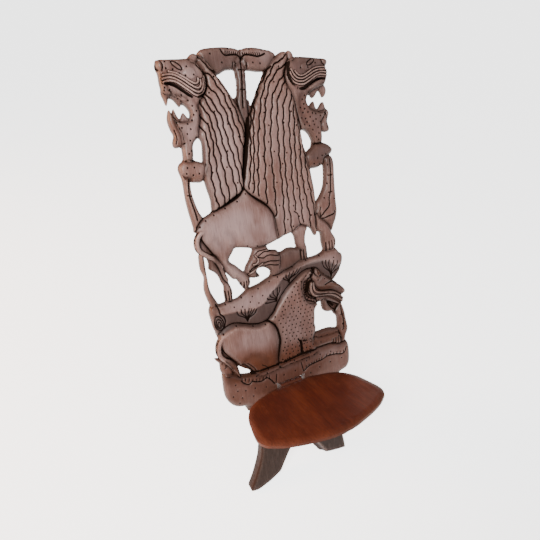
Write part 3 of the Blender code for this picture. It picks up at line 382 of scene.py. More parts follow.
BRANCHES = [
    Form("left knob", -1, 16, 14, [
        (-198, 969), (-208, 963), (-212, 952), (-210, 941), (-205, 933), (-198, 928),
        (-188, 926), (-185, 919), (-174, 917), (-160, 917), (-148, 935), (-146, 957),
        (-163, 966), (-182, 969)]),
    Form("left stem", -3, 11, 9, [
        (-207, 938), (-200, 930), (-190, 928), (-190, 900), (-189, 885), (-185, 865),
        (-180, 845), (-174, 828), (-188, 808), (-199, 800), (-203, 825), (-206, 850),
        (-208, 880), (-207, 910)]),
    Form("right knob", -1, 18, 15, [
        (134, 950), (147, 961), (158, 969), (168, 976), (190, 977), (206, 973),
        (218, 965), (223, 957), (220, 948), (211, 941), (199, 936), (192, 930),
        (188, 920), (178, 915), (164, 912), (148, 912), (138, 915), (132, 935)]),
    Form("right stem", -3, 12, 10, [
        (192, 936), (212, 941), (220, 933), (223, 920), (222, 890), (220, 850),
        (220, 800), (219, 782), (213, 762), (205, 747), (194, 729), (184, 748),
        (168, 767), (156, 774), (146, 788), (150, 802), (153, 817), (166, 831),
        (177, 846), (185, 862), (189, 880), (191, 900), (191, 920)]),
    Form("left branch", -3, 9, 8, [
        (-200, 741), (-190, 739), (-190, 700), (-190, 662), (-188, 642), (-183, 626),
        (-177, 612), (-172, 600), (-165, 588), (-170, 574), (-184, 574), (-190, 590),
        (-196, 606), (-200, 624), (-203, 645), (-201, 665), (-198, 682), (-203, 702),
        (-203, 724)]),
]

STRIDING_LION = [
    Form("body", 0, 30, 13, [
        (-56, 884), (-44, 871), (-26, 854), (-8, 840), (4, 829), (13, 815), (18, 801),
        (19, 773), (22, 741), (4, 733), (-10, 729), (-26, 726), (-49, 725), (-61, 730),
        (-99, 739), (-112, 728), (-123, 713), (-119, 703), (-110, 695), (-101, 685),
        (-91, 674), (-79, 660), (-75, 648), (-77, 634), (-86, 622), (-94, 623),
        (-102, 635), (-108, 648), (-113, 656), (-122, 659), (-130, 669), (-137, 680),
        (-142, 692), (-149, 708), (-160, 728), (-172, 748), (-187, 776), (-187, 790),
        (-200, 800), (-195, 809), (-186, 820), (-176, 828), (-151, 839), (-115, 850),
        (-88, 861), (-70, 871)]),
    Form("far hind leg", -8, 10, 8, [
        (-182, 737), (-179, 714), (-181, 699), (-170, 689), (-160, 675), (-155, 658),
        (-150, 645), (-151, 634), (-152, 620), (-148, 600), (-134, 600), (-130, 617),
        (-129, 631), (-133, 645), (-138, 657), (-144, 670), (-148, 690), (-152, 712),
        (-160, 732)]),
    Form("hollow inside the tail", GROUND, 3, 1, [
        (-178, 800), (-196, 790), (-203, 770), (-198, 748), (-182, 734), (-165, 722),
        (-150, 735), (-165, 765)]),
    Form("tail tuft", -2, 7, 7, [
        (-170, 730), (-157, 724), (-149, 708), (-144, 692), (-140, 676), (-136, 662),
        (-140, 654), (-149, 664), (-155, 682), (-160, 702), (-167, 718)]),
    Form("near foreleg", -3, 14, 11, [
        (68, 752), (82, 764), (98, 766), (116, 755), (110, 742), (106, 725), (105, 712),
        (108, 700), (108, 688), (106, 662), (90, 660), (78, 662), (79, 685), (82, 698),
        (76, 712), (74, 735)]),
    Form("far foreleg", -1, 14, 11, [
        (146, 792), (158, 777), (170, 767), (186, 749), (196, 725), (204, 711),
        (206, 700), (204, 688), (198, 674), (184, 670), (168, 672), (162, 690),
        (160, 705), (160, 720), (158, 732), (149, 738), (142, 755), (142, 780)]),
]

SMALL_LION = [
    Form("body", -5, 14, 10, [
        (-49, 729), (-18, 729), (-8, 716), (6, 712), (15, 710), (22, 703), (32, 703),
        (44, 708), (56, 709), (72, 705), (86, 698), (88, 664), (60, 654), (30, 644),
        (10, 640), (-12, 638), (-12, 655), (-19, 664), (-28, 670), (-40, 672),
        (-49, 670), (-52, 663), (-48, 655), (-48, 648), (-58, 647), (-72, 651),
        (-79, 660), (-86, 670), (-80, 686), (-70, 698), (-62, 711)]),
]

GROUND_BAND = [
    Form("band", -2, 10, 9, [
        (-200, 594), (-194, 600), (-176, 600), (-151, 603), (-133, 603), (-118, 605),
        (-104, 612), (-88, 621), (-74, 625), (-52, 629), (-27, 638), (-10, 643),
        (10, 644), (26, 650), (44, 654), (61, 661), (76, 667), (106, 668), (124, 668),
        (142, 670), (155, 674), (165, 678), (199, 679), (208, 671), (213, 664),
        (220, 659), (223, 650), (222, 640), (219, 630), (216, 620), (210, 606),
        (199, 593), (185, 582), (169, 594), (151, 608), (142, 618), (128, 632),
        (115, 635), (90, 632), (76, 627), (61, 618), (44, 606), (26, 594), (11, 579),
        (-1, 566), (-10, 553), (-20, 540), (-29, 531), (-42, 521), (-70, 515),
        (-92, 520), (-108, 526), (-124, 532), (-138, 537), (-151, 537), (-163, 534),
        (-177, 526), (-189, 518), (-194, 530), (-198, 546), (-200, 563), (-202, 580)]),
]

LYING_LION = [
    Form("rump", 0, 32, 14, [
        (-190, 520), (-177, 528), (-163, 535), (-151, 539), (-138, 539), (-124, 534),
        (-108, 528), (-92, 522), (-70, 517), (-48, 517), (-36, 512), (-26, 501),
        (-19, 487), (-15, 470), (-14, 450), (-19, 425), (-25, 400), (-26, 372),
        (-60, 366), (-92, 366), (-108, 382), (-117, 395), (-128, 409), (-136, 414),
        (-144, 412), (-152, 424), (-168, 446), (-180, 465), (-187, 490)]),
    Form("tail tuft", -2, 8, 8, [
        (-188, 450), (-170, 444), (-156, 424), (-149, 406), (-147, 390), (-150, 380),
        (-156, 386), (-165, 402), (-176, 420), (-188, 438)]),
    Form("hollow inside the tail", GROUND, 3, 1, [
        (-170, 512), (-188, 502), (-197, 482), (-195, 460), (-180, 440), (-160, 440),
        (-170, 470), (-174, 495)]),
    Form("cub's head", -6, 11, 9, [
        (-196, 442), (-198, 428), (-199, 416), (-195, 404), (-186, 396), (-166, 396),
        (-166, 412), (-176, 430), (-186, 444)]),
    Form("cub's ear", -9, 4, 4, [
        (-209, 453), (-201, 452), (-190, 445), (-194, 437), (-203, 443)]),
    Form("mane", -1, 18, 11, [
        (-42, 522), (-30, 531), (-20, 540), (-10, 554), (0, 568), (11, 581), (26, 596),
        (44, 608), (61, 620), (76, 629), (90, 634), (104, 637), (116, 634), (112, 618),
        (96, 606), (84, 600), (82, 580), (83, 560), (88, 546), (102, 538), (118, 528),
        (123, 522), (115, 514), (110, 502), (108, 482), (106, 468), (108, 455),
        (104, 438), (98, 425), (98, 378), (47, 372), (0, 370), (-28, 370), (-26, 400),
        (-19, 425), (-13, 450), (-14, 470), (-18, 488), (-25, 502), (-35, 513)]),
    Form("near foreleg", -2, 11, 10, [
        (52, 428), (75, 422), (100, 426), (112, 421), (140, 419), (165, 418),
        (179, 418), (188, 408), (195, 397), (195, 387), (189, 378), (176, 378),
        (160, 386), (138, 388), (94, 388), (60, 384), (50, 384)]),
    Form("far foreleg", -9, 8, 8, [
        (96, 434), (120, 435), (155, 435), (173, 430), (186, 424), (186, 405),
        (140, 405), (98, 408)]),
]

LYING_HEAD = [
    Form("hollow behind the cheek", -13, 3, 1, [
        (76, 606), (108, 630), (122, 620), (122, 600), (108, 585), (108, 560),
        (128, 548), (126, 528), (92, 536), (74, 570)]),
    Form("brow and muzzle", -4, 14, 10, [
        (110, 618), (120, 632), (134, 630), (143, 619), (152, 611), (169, 598),
        (186, 583), (204, 565), (217, 553), (222, 544), (220, 535), (211, 529),
        (204, 532), (197, 536), (186, 545), (170, 553), (154, 556), (138, 558),
        (124, 567), (116, 578), (112, 596)]),
    Form("ear", -1, 6, 6, [
        (119, 628), (124, 635), (131, 633), (140, 621), (138, 613), (131, 609),
        (123, 612), (118, 621)]),
    Form("lip roll", 0, 9, 9, [
        (105, 600), (98, 594), (93, 580), (93, 567), (99, 557), (108, 549), (120, 546),
        (138, 544), (154, 541), (169, 534), (183, 525), (195, 514), (204, 507),
        (211, 516), (210, 526), (200, 538), (186, 549), (170, 557), (154, 560),
        (138, 563), (125, 572), (117, 583), (113, 597)]),
    Form("jaw", -6, 9, 8, [
        (118, 548), (140, 546), (160, 540), (180, 527), (200, 509), (206, 503),
        (200, 497), (188, 506), (174, 515), (160, 522), (150, 524), (140, 530),
        (131, 528), (122, 530)]),
    Form("tongue", -4, 8, 9, [
        (139, 533), (152, 530), (156, 518), (161, 508), (169, 498), (178, 491),
        (166, 488), (152, 490), (143, 497), (139, 511)]),
    Form("hollow of the mouth", GROUND, 3, 1, [
        (148, 530), (178, 520), (206, 506), (208, 490), (194, 472), (182, 474),
        (172, 490), (160, 506)]),
    Form("right branch", -3, 12, 10, [
        (203, 508), (211, 490), (215, 473), (217, 455), (221, 430), (220, 412),
        (212, 396), (206, 380), (192, 380), (190, 400), (186, 420), (188, 444),
        (188, 462), (183, 474), (179, 486), (188, 498)]),
]

LOG = [
    Form("log", -1, 16, 12, [
        (-194, 402), (-186, 405), (-178, 402), (-163, 394), (-150, 384), (-138, 380),
        (-118, 377), (-90, 376), (-60, 376), (-30, 378), (0, 381), (40, 386), (60, 387),
        (94, 390), (120, 392), (150, 388), (170, 381), (190, 378), (206, 381),
        (215, 371), (218, 354), (218, 327), (214, 304), (203, 289), (190, 284),
        (173, 279), (150, 262), (0, 250), (-130, 262), (-142, 284), (-157, 289),
        (-173, 295), (-187, 307), (-195, 321), (-199, 339), (-200, 356), (-199, 377),
        (-198, 392)]),
]

LEGS = [
    Form("legs", -4, 7, 6, [
        (-122, 300), (-121, 250), (-118, 212), (-117, 178), (-121, 140), (-131, 100),
        (-147, 60), (-163, 30), (-173, 14), (-174, 5), (-167, 1), (-150, -1),
        (-128, 4), (-100, 14), (-80, 23), (-70, 29), (-57, 50), (-39, 76), (-20, 102),
        (-6, 122), (6, 129), (17, 118), (34, 92), (50, 64), (64, 42), (76, 26),
        (100, 15), (130, 8), (156, 3), (166, 2), (167, 10), (164, 40), (160, 68),
        (156, 110), (149, 150), (143, 190), (138, 230), (138, 300)]),
]

# Tails are round strands, given by their middle line
TAILS = [
    Groove(13, -3, [(-179, 797), (-190, 791), (-198, 780), (-201, 766), (-199, 754),
                    (-191, 743), (-178, 733), (-165, 723), (-157, 712), (-150, 698)]),
    Groove(14, -3, [(-168, 510), (-180, 505), (-190, 494), (-195, 479), (-195, 463),
                    (-188, 449), (-177, 436), (-166, 422), (-157, 408)]),
]

SINKS = [
    Sink("left lip slit", 9, 5, [
        (-209, 1139), (-195, 1140), (-180, 1131), (-163, 1117), (-149, 1107),
        (-158, 1106), (-172, 1116), (-187, 1127), (-200, 1133)]),
    Sink("right lip slit", 9, 5, [
        (213, 1139), (200, 1141), (182, 1135), (163, 1123), (145, 1115), (128, 1112),
        (148, 1109), (168, 1117), (186, 1127), (203, 1133)]),
    Sink("shaded side of the band", 6, 12, [
        (-196, 577), (-168, 578), (-140, 577), (-120, 573), (-97, 569), (-75, 569),
        (-50, 577), (-38, 590), (-20, 605), (-2, 619), (12, 631), (26, 638), (49, 643),
        (70, 650), (90, 655), (116, 658), (142, 658), (162, 654), (181, 646),
        (200, 634), (216, 632), (218, 610), (185, 570), (128, 622), (90, 622),
        (44, 596), (0, 552), (-30, 518), (-70, 500), (-140, 522), (-200, 505)]),
    Sink("lying lion's ear", 7, 4, [(126, 628), (133, 628), (136, 616), (129, 612)]),
    Sink("right leg's inner side", 9, 10, [
        (30, 90), (58, 80), (78, 50), (95, 20), (72, 12), (40, 60)]),
]

LEFT_LOCKS = [
    [(-122, 1192), (-92, 1161), (-65, 1116), (-46, 1062), (-34, 1012)],
    [(-131, 1173), (-99, 1150), (-73, 1104), (-58, 1050), (-41, 984)],
    [(-111, 1134), (-88, 1101), (-71, 1050), (-61, 985), (-53, 915)],
    [(-117, 1114), (-90, 1065), (-82, 1012), (-70, 950), (-62, 887)],
    [(-126, 1109), (-103, 1061), (-95, 1005), (-84, 935), (-77, 871)],
    [(-135, 1099), (-115, 1051), (-109, 1000), (-102, 930), (-97, 863)],
    [(-137, 1069), (-121, 1030), (-120, 985), (-119, 920), (-112, 855)],
    [(-142, 1044), (-131, 1010), (-134, 965), (-136, 910), (-131, 847)],
]

RIGHT_LOCKS = [
    [(48, 1162), (12, 1108), (-12, 1050), (-26, 965), (-43, 883)],
    [(60, 1170), (25, 1125), (-2, 1065), (-16, 975), (-32, 872)],
    [(108, 1194), (66, 1167), (30, 1112), (6, 1030), (-10, 935), (-20, 862)],
    [(106, 1178), (59, 1141), (34, 1085), (18, 1005), (7, 915), (1, 838)],
    [(96, 1151), (60, 1110), (44, 1052), (31, 965), (28, 870), (23, 803)],
    [(96, 1134), (71, 1096), (60, 1042), (53, 950), (50, 850), (42, 750)],
    [(100, 1116), (83, 1076), (75, 1025), (67, 930), (64, 850), (65, 755)],
    [(108, 1101), (95, 1046), (88, 960), (83, 884), (84, 809)],
    [(111, 1076), (107, 1020), (99, 930), (101, 850), (102, 772)],
    [(122, 1040), (117, 960), (115, 890), (120, 830), (126, 757)],
    [(129, 1005), (129, 935), (133, 870), (140, 810), (144, 748)],
]

LINES = [
    Groove(6, 5, [(-64, 1207), (-61, 1200), (-54, 1195), (-40, 1196), (-24, 1195),
                  (-17, 1184), (-20, 1140), (-24, 1110), (-27, 1078)]),
    Groove(6, 5, [(-17, 1184), (-11, 1192), (-2, 1196), (16, 1194), (30, 1192), (48, 1198)]),
    Groove(6, 4, [(-193, 926), (-197, 905), (-198, 885), (-195, 866), (-192, 848),
                  (-190, 828)]),
    Groove(6, 4, [(207, 930), (207, 900), (203, 870), (200, 842), (194, 826), (193, 806),
                  (183, 796), (170, 786), (161, 776)]),
    Groove(6, 4, [(208, 786), (203, 779), (183, 775), (169, 770)]),
    Groove(6, 4, [(-183, 606), (-177, 590), (-175, 577), (-167, 567), (-163, 554),
                  (-168, 537)]),
    Groove(7, 4, [(41, 437), (47, 425), (48, 405), (48, 388)]),
    Groove(6, 4, [(200, 498), (199, 480), (203, 460), (204, 440), (202, 425)]),
    Groove(7, 4, [(-150, 371), (-141, 359), (-128, 352), (-118, 358), (-106, 352),
                  (-89, 348), (-74, 353), (-62, 342), (-52, 326)]),
    Groove(7, 4, [(47, 331), (64, 341), (82, 345), (111, 346), (132, 352), (161, 349),
                  (182, 342), (197, 346), (203, 361)]),
]

# Each eye is an oval ring: middle, half length, half width and tilt in degrees
EYES = [(-175, 1174, 14, 5, -38), (172, 1176, 14, 5, 29)]

# Each paw's toes are short grooves: first, last, how many, and how far each reaches
TOES = [
    ((-103, 626), (-82, 629), 4, (0, 20)), ((-149, 606), (-134, 606), 3, (0, 26)),
    ((84, 670), (102, 670), 3, (0, 25)), ((168, 677), (197, 681), 4, (0, 24)),
    ((160, 382), (187, 382), 4, (0, 18))]

# The finer cuts from here on are in this finished surface only.
# Each bush is a fan of curved cuts: its root, then the tips of its stems
BUSHES = [
    ((-101, 533), [(-129, 571), (-117, 574), (-106, 572), (-94, 571), (-87, 568), (-79, 566),
                   (-70, 562)]),
    ((-7, 566), [(-44, 571), (-38, 585), (-28, 593), (-16, 600), (-1, 605), (7, 605)]),
    ((38, 610), [(20, 630), (28, 637), (40, 641), (53, 643), (66, 646), (78, 647)]),
    ((178, 594), [(151, 649), (162, 650), (173, 648), (188, 644), (201, 640), (214, 630)]),
]

# Short straight cuts, by their two ends
TICKS = [
    ((-26, 1164), (-12, 1163)), ((-27, 1120), (-15, 1119)), ((-38, 1180), (-40, 1168)),
    ((-3, 1178), (-3, 1166)), ((197, 888), (210, 888)), ((192, 841), (205, 841)),
    ((-203, 890), (-193, 887)), ((205, 1184), (208, 1172)), ((208, 1172), (214, 1168)),
    ((41, 362), (45, 333)), ((-42, 353), (-48, 327)), ((-199, 452), (-190, 447)),
    ((-188, 420), (-180, 424)),
    ((108, 629), (116, 621)), ((102, 620), (112, 615)), ((96, 610), (107, 607)),
    ((85, 600), (95, 596)), ((81, 592), (92, 590)), ((77, 584), (89, 583)),
    ((79, 575), (91, 574)), ((81, 567), (91, 567)), ((81, 560), (92, 561)),
    ((87, 552), (95, 556)), ((94, 545), (100, 551)), ((104, 535), (108, 545)),
    ((114, 531), (117, 541)), ((123, 527), (127, 538)),
]

# Rows of ticks: first, last, how many, and how far each reaches
TICK_ROWS = [
    ((-54, 1199), (-24, 1196), 7, (1, 5)), ((-9, 1195), (34, 1195), 9, (-1, 5)),
    ((-148, 368), (-118, 357), 4, (3, 8)), ((-106, 353), (-66, 349), 5, (2, 8)),
    ((55, 338), (110, 347), 7, (2, 9)), ((128, 352), (190, 345), 6, (2, 8)),
    ((196, 420), (204, 470), 4, (7, 2)),
]

# The knot at the band's end: rings round one middle
KNOT = [(-181, 551, 12, 20, 8), (-181, 549, 8, 13, 8), (-181, 547, 4, 7, 8)]

# Extra lines along the forms
FINE_LINES = [
    Groove(4, 3, [(163, 804), (159, 792), (161, 778)]),
    Groove(4, 3, [(78, 806), (87, 797), (90, 774), (97, 765)]),
    Groove(4, 3, [(-209, 1182), (-206, 1174), (-209, 1164)]),
    Groove(4, 3, [(-222, 1180), (-221, 1172), (-217, 1165)]),
    Groove(3, 2, [(-206, 1040), (-203, 1022), (-207, 1008)]),
    Groove(3, 2, [(210, 1050), (209, 1030), (209, 1012)]),
    Groove(3, 2, [(-122, 414), (-106, 396), (-98, 378)]),
    Groove(3, 2, [(-82, 398), (-68, 386), (-62, 372)]),
    Groove(4, 3, [(17, 696), (4, 698), (-8, 702), (-20, 702), (-29, 698), (-37, 700), (-48, 703)]),
    Groove(4, 3, [(15, 682), (2, 683), (-12, 686), (-24, 685), (-31, 684)]),
    Groove(4, 3, [(9, 711), (-2, 713), (-15, 713), (-25, 715), (-35, 711), (-44, 706)]),
    Groove(4, 3, [(-17, 720), (-32, 720), (-43, 719), (-50, 714)]),
    Groove(4, 3, [(11, 670), (-1, 672), (-15, 676), (-27, 675)]),
    Groove(3, 2, [(20, 704), (20, 691), (18, 677), (14, 658)]),
    Groove(5, 4, [(-50, 682), (-64, 677), (-75, 670)]),
    Groove(4, 3, [(-54, 662), (-55, 656), (-57, 648)]),
    Groove(5, 4, [(152, 577), (164, 581), (178, 581), (188, 575)]),
    Groove(5, 5, [(157, 522), (163, 510), (172, 498)]),
]

# Round folds and lips that stand up from a form, as a half width, a rise and their paths
RIBBONS = [
    (2.9, 3.2, [
        [(-211, 1140), (-198, 1143), (-183, 1140), (-170, 1131), (-156, 1120), (-146, 1112),
         (-136, 1109), (-126, 1113), (-119, 1122), (-115, 1136), (-115, 1150)],
        [(-212, 1147), (-195, 1149), (-181, 1145), (-168, 1137), (-155, 1127), (-143, 1119),
         (-134, 1117), (-126, 1122), (-121, 1132), (-120, 1144)],
        [(-210, 1154), (-193, 1155), (-178, 1151), (-164, 1143), (-151, 1133), (-141, 1127),
         (-133, 1126), (-127, 1132), (-126, 1142)],
        [(-196, 1161), (-178, 1157), (-163, 1149), (-150, 1140), (-140, 1135), (-133, 1138),
         (-131, 1146)]]),
    (2.7, 3.0, [
        [(219, 1144), (197, 1146), (180, 1141), (164, 1132), (146, 1124), (128, 1125),
         (112, 1134), (104, 1148)],
        [(220, 1151), (198, 1152), (180, 1147), (164, 1139), (146, 1131), (128, 1132),
         (115, 1141), (108, 1154)],
        [(221, 1157), (198, 1158), (180, 1154), (164, 1146), (146, 1138), (130, 1139),
         (119, 1148), (112, 1160)],
        [(221, 1163), (198, 1164), (180, 1161), (164, 1153), (147, 1145), (133, 1146),
         (123, 1155)]]),
    (4.0, 3.6, [
        [(103, 594), (99, 578), (105, 560), (121, 551), (137, 548), (160, 546), (179, 538),
         (193, 526), (202, 516)],
        [(112, 594), (109, 579), (116, 566), (136, 559), (157, 555), (180, 548), (196, 536),
         (207, 524)]]),
    (3.0, 2.6, [[(-36, 684), (-55, 674), (-78, 662)], [(-54, 709), (-48, 702), (-47, 694),
                                                    (-53, 687), (-63, 686)]]),
]

# Small domes that stand up from a form: middle, half sizes and rise
DOMES = [(-148, 1157, 15, 13, 4.0), (-213, 1173, 7, 10, 2.5), (215, 1176, 9, 9, 2.5),
         (215, 543, 7, 7, 5.0), (-50, 653, 6, 6, 4.0), (160, 1166, 17, 10, 3.0),
         (-58, 701, 5, 4, 2.0), (131, 605, 13, 11, 3.0)]

# Broad soft valleys that part the muscles, as a width, a depth and a path
VALLEYS = [
    Groove(20, 5, [(160, 1112), (144, 1101), (133, 1082), (134, 1058), (143, 1034)]),
    Groove(14, 4, [(-146, 1101), (-142, 1090), (-140, 1075), (-142, 1056), (-149, 1036)]),
    Groove(22, 3, [(-104, 742), (-100, 756), (-104, 772), (-116, 784)]),
    Groove(26, 3, [(-150, 770), (-138, 750), (-128, 730), (-122, 712)]),
    Groove(22, 3, [(-120, 425), (-100, 432), (-78, 424), (-62, 404)]),
    Groove(8, 3, [(117, 634), (112, 612), (100, 601), (91, 582), (91, 562), (101, 547),
                  (118, 539)]),
    Groove(14, 3, [(20, 708), (26, 690), (20, 664)]),
    Groove(12, 4, [(122, 575), (140, 568), (170, 566), (200, 552)]),
]

# Where the lines are wide and quite dark: some darken cuts and joints, and some are painted
# shadow, along the outer edges of the cheeks and along the lying lion's lower edge above the
# log. Each is a width and a path
INKED = [
    (2, [(117, 634), (113, 613), (100, 602), (92, 584), (91, 562), (100, 548),
         (116, 540)]),
    (6, [(164, 517), (172, 509), (178, 502)]),
    (5, [(-208, 1137), (-192, 1136), (-177, 1127), (-162, 1114), (-152, 1107)]),
    (5, [(212, 1136), (188, 1135), (163, 1124), (146, 1116)]),
    (7, [(48, 430), (48, 410), (47, 392)]),
    (8, [(-20, 1052), (-24, 1026), (-29, 1002), (-37, 972), (-46, 940), (-53, 912)]),
    (5, [(110, 1176), (105, 1160), (105, 1141), (116, 1123), (132, 1115), (150, 1116)]),
    (4, [(-137, 1106), (-121, 1114), (-112, 1130), (-110, 1147), (-114, 1160)]),
    (2.5, [(-20, 541), (0, 569), (26, 597), (61, 621), (90, 635), (104, 638)]),
    (2, [(-177, 530), (-151, 541), (-124, 536), (-92, 524), (-48, 519), (-30, 532)]),
    (2, [(-199, 800), (-188, 821), (-151, 841), (-88, 863), (-56, 886)]),
    (5, [(-114, 378), (-98, 382), (-41, 382), (5, 385), (48, 389), (96, 387)]),
]

# Small round pricks, by their middles
PITS = [
    (-157, 599), (-135, 586), (-112, 581), (-88, 588), (-64, 579), (-50, 597), (-60, 619),
    (-80, 602), (-110, 606), (-25, 631), (2, 637), (52, 655), (96, 664), (142, 667), (188, 653),
    (-187, 810), (-170, 823), (-147, 833), (-115, 845), (-81, 857), (-56, 873), (-71, 739),
    (-44, 734), (-20, 732), (-136, 530), (-175, 518), (-88, 515), (-52, 510), (-168, 365),
    (-165, 345), (-180, 333), (-155, 320), (-165, 307), (-122, 313), (-142, 338), (-113, 335),
    (-80, 326), (-137, 369), (-103, 368), (-70, 367), (-26, 368), (20, 375), (59, 362),
    (107, 367), (145, 364), (-20, 343), (18, 343), (101, 326), (68, 318), (140, 330), (182, 330),
    (-196, 940), (-181, 935), (-166, 937), (-192, 953), (-175, 952), (195, 945), (182, 943),
    (167, 937), (172, 922), (155, 924), (199, 916), (216, 876), (210, 822), (177, 828),
    (192, 866), (-92, 1198), (-66, 1179), (-46, 1209), (13, 1178), (32, 1176), (8, 1208),
    (40, 1206), (-200, 1182), (-200, 1168), (-185, 1166), (-171, 1157), (-159, 1152),
    (-153, 1171), (-140, 1153), (-210, 1129), (-200, 1124), (-176, 1112), (-163, 1100),
    (-155, 1088), (-147, 1077), (-155, 1069), (-161, 1057), (-173, 1050), (-188, 1042),
    (-168, 1038), (-178, 1028), (-158, 1019), (-188, 1008), (-174, 1013), (-175, 990),
    (-182, 984), (140, 1089), (149, 1083), (142, 1077), (132, 1069), (143, 1065), (138, 1056),
    (151, 1056), (164, 1053), (174, 1051), (156, 1044), (132, 1043), (144, 1041), (173, 1037),
    (164, 1033), (147, 1032), (138, 1026), (151, 1022), (166, 1024), (186, 1030), (188, 1045),
    (203, 1052), (177, 1016), (160, 1011), (178, 1001), (169, 992), (175, 985), (148, 1098),
    (142, 1163), (162, 1163), (187, 1174), (138, 610), (152, 596), (128, 598), (-184, 428),
    (200, 440), (196, 470),
]

# Where the wood is redder: low down this is its own tone, and on some left edges, such as
# the left head's nose and lip, it is painted warm light. Each has a middle, half sizes and
# strength
RED_PLACES = [
    (-120, 398, 90, 58, 1.0), (-50, 394, 70, 42, 1.0), (35, 394, 70, 40, 1.0),
    (150, 388, 60, 14, 0.8), (-180, 310, 70, 54, 0.8), (-80, 310, 90, 30, 0.7),
    (-196, 330, 22, 60, 0.6), (200, 330, 40, 60, 0.45), (-212, 1140, 12, 45, 0.7),
    (-182, 925, 34, 14, 0.6), (165, 922, 34, 14, 0.5), (206, 450, 14, 50, 0.8),
    (160, 568, 50, 9, 1.0), (132, 620, 6, 8, 1.0), (-196, 640, 12, 90, 0.5),
    (-186, 415, 18, 30, 0.7), (170, 1000, 30, 60, 0.3), (-205, 1030, 12, 50, 0.6),
    (-120, 620, 60, 14, 0.3), (-118, 1010, 16, 60, 0.45), (60, 672, 60, 14, 0.25),
    (-70, 300, 110, 34, 0.6), (140, 1060, 30, 40, 0.4),
    (130, 405, 90, 26, 0.9), (0, 330, 240, 50, 0.62), (-160, 310, 50, 40, 0.6),
]

# Where the wood is greyer and darker: in part its own tone, as on the crown, and in part
# painted shade, as on the strip where the seat meets the plank and on the darker right and
# lower parts
DARK_PLACES = [
    (-178, 385, 34, 20, 1.0), (30, 650, 40, 8, 0.9),
    (-65, 1180, 64, 34, 0.80), (40, 1182, 50, 26, 0.45), (-165, 690, 14, 60, 0.6),
    (215, 760, 20, 40, 0.6), (150, 428, 60, 9, 0.8), (150, 372, 90, 12, 0.5),
    (138, 1075, 18, 46, 0.75), (165, 1178, 60, 14, 0.6), (180, 945, 60, 34, 0.5),
    (-130, 1125, 14, 40, 0.5), (-160, 1178, 60, 12, 0.4), (-186, 600, 12, 60, 0.4),
    (206, 640, 20, 30, 0.4), (172, 1160, 60, 44, 0.85), (150, 1060, 50, 66, 0.60),
    (185, 946, 60, 44, 0.85), (45, 680, 64, 40, 0.80), (-40, 665, 34, 34, 0.75),
    (165, 560, 66, 56, 0.62), (140, 400, 90, 30, 0.35), (0, 366, 240, 26, 0.50),
    (0, 320, 240, 50, 0.60), (-95, 385, 90, 26, 0.72), (-160, 1172, 60, 24, 0.35),
    (-30, 1120, 30, 90, 0.9), (0, 318, 190, 7, 1.0), (20, 470, 70, 80, 0.25),
]

# Where the wood carries painted highlights, paler and greyer
HIGHLIGHT_PLACES = [
    (-95, 800, 70, 44, 0.9), (-60, 590, 100, 26, 0.9), (-95, 900, 50, 60, 0.9),
    (-90, 470, 60, 36, 0.55), (60, 800, 70, 60, 0.4), (25, 470, 50, 60, 0.35),
    (-150, 780, 56, 46, 1.0), (-100, 990, 50, 130, 0.9), (-120, 680, 40, 50, 0.7),
    (-30, 765, 60, 50, 0.8),
    (0, 365, 150, 12, 0.7), (-160, 1040, 30, 60, 0.7), (-150, 1158, 26, 20, 0.8),
    (160, 640, 60, 26, 0.6), (45, 1192, 20, 18, 0.6), (190, 1040, 30, 40, 0.5),
    (-170, 1120, 50, 20, 0.5), (180, 1120, 50, 20, 0.4), (60, 1020, 50, 90, 0.3),
]

# The seat's outline: how far forward of the plank, as a share of the seat's depth, and
# how wide there, as a share of its width
SEAT_PLAN = [
    (0.0, 0.29), (0.03, 0.44), (0.08, 0.64), (0.165, 0.81), (0.30, 0.92), (0.42, 0.96),
    (0.64, 1.0), (0.75, 0.955), (0.80, 0.88), (0.86, 0.75), (0.91, 0.58), (0.95, 0.40),
    (0.985, 0.2), (1.0, 0.0)]


def flowing(points, closed, steps=3):
    """A smooth curve through the points."""
    p = np.array(points, dtype=float)
    if closed:
        p = np.vstack([p[-1:], p, p[:2]])
    else:
        p = np.vstack([2 * p[0] - p[1], p, 2 * p[-1] - p[-2]])
    t = (np.arange(steps) / steps)[:, None]
    runs = []
    for a, b, c, d in zip(p, p[1:], p[2:], p[3:]):
        runs.append(b + 0.5 * t * (c - a + t * (2 * a - 5 * b + 4 * c - d
                                                + t * (3 * (b - c) + d - a))))
    if not closed:
        runs.append(p[-2:-1])
    return np.vstack(runs)


def distance_to(path, u, v, closed):
    """How far each place is from a line."""
    ends = np.roll(path, -1, axis=0) if closed else path[1:]
    nearest = np.full(u.shape, np.inf)
    for (au, av), (bu, bv) in zip(path, ends):
        du = bu - au
        dv = bv - av
        share = ((u - au) * du + (v - av) * dv) / max(du * du + dv * dv, TINY)
        share = clamped(share)
        nearest = np.minimum(nearest, (u - au - share * du) ** 2 + (v - av - share * dv) ** 2)
    return np.sqrt(nearest)


def is_inside(path, u, v):
    """Which places are inside a closed line."""
    inside = np.zeros(u.shape, dtype=bool)
    for (au, av), (bu, bv) in zip(path, np.roll(path, -1, axis=0)):
        if av == bv:
            continue
        crosses = (av > v) != (bv > v)
        inside ^= crosses & (u < au + (v - av) * (bu - au) / (bv - av))
    return inside


def depth_inside(path, u, v):
    """How far inside a closed line each place is, less than nothing outside it."""
    away = distance_to(path, u, v, closed=True)
    return np.where(is_inside(path, u, v), away, -away)


def near(path, u, v, margin):
    """The part of the plank that a form can reach, as a pair of slices."""
    columns = np.where((u[0] > path[:, 0].min() - margin) & (u[0] < path[:, 0].max() + margin))[0]
    rows = np.where((v[:, 0] > path[:, 1].min() - margin)
                    & (v[:, 0] < path[:, 1].max() + margin))[0]
    return slice(rows[0], rows[-1] + 1), slice(columns[0], columns[-1] + 1)


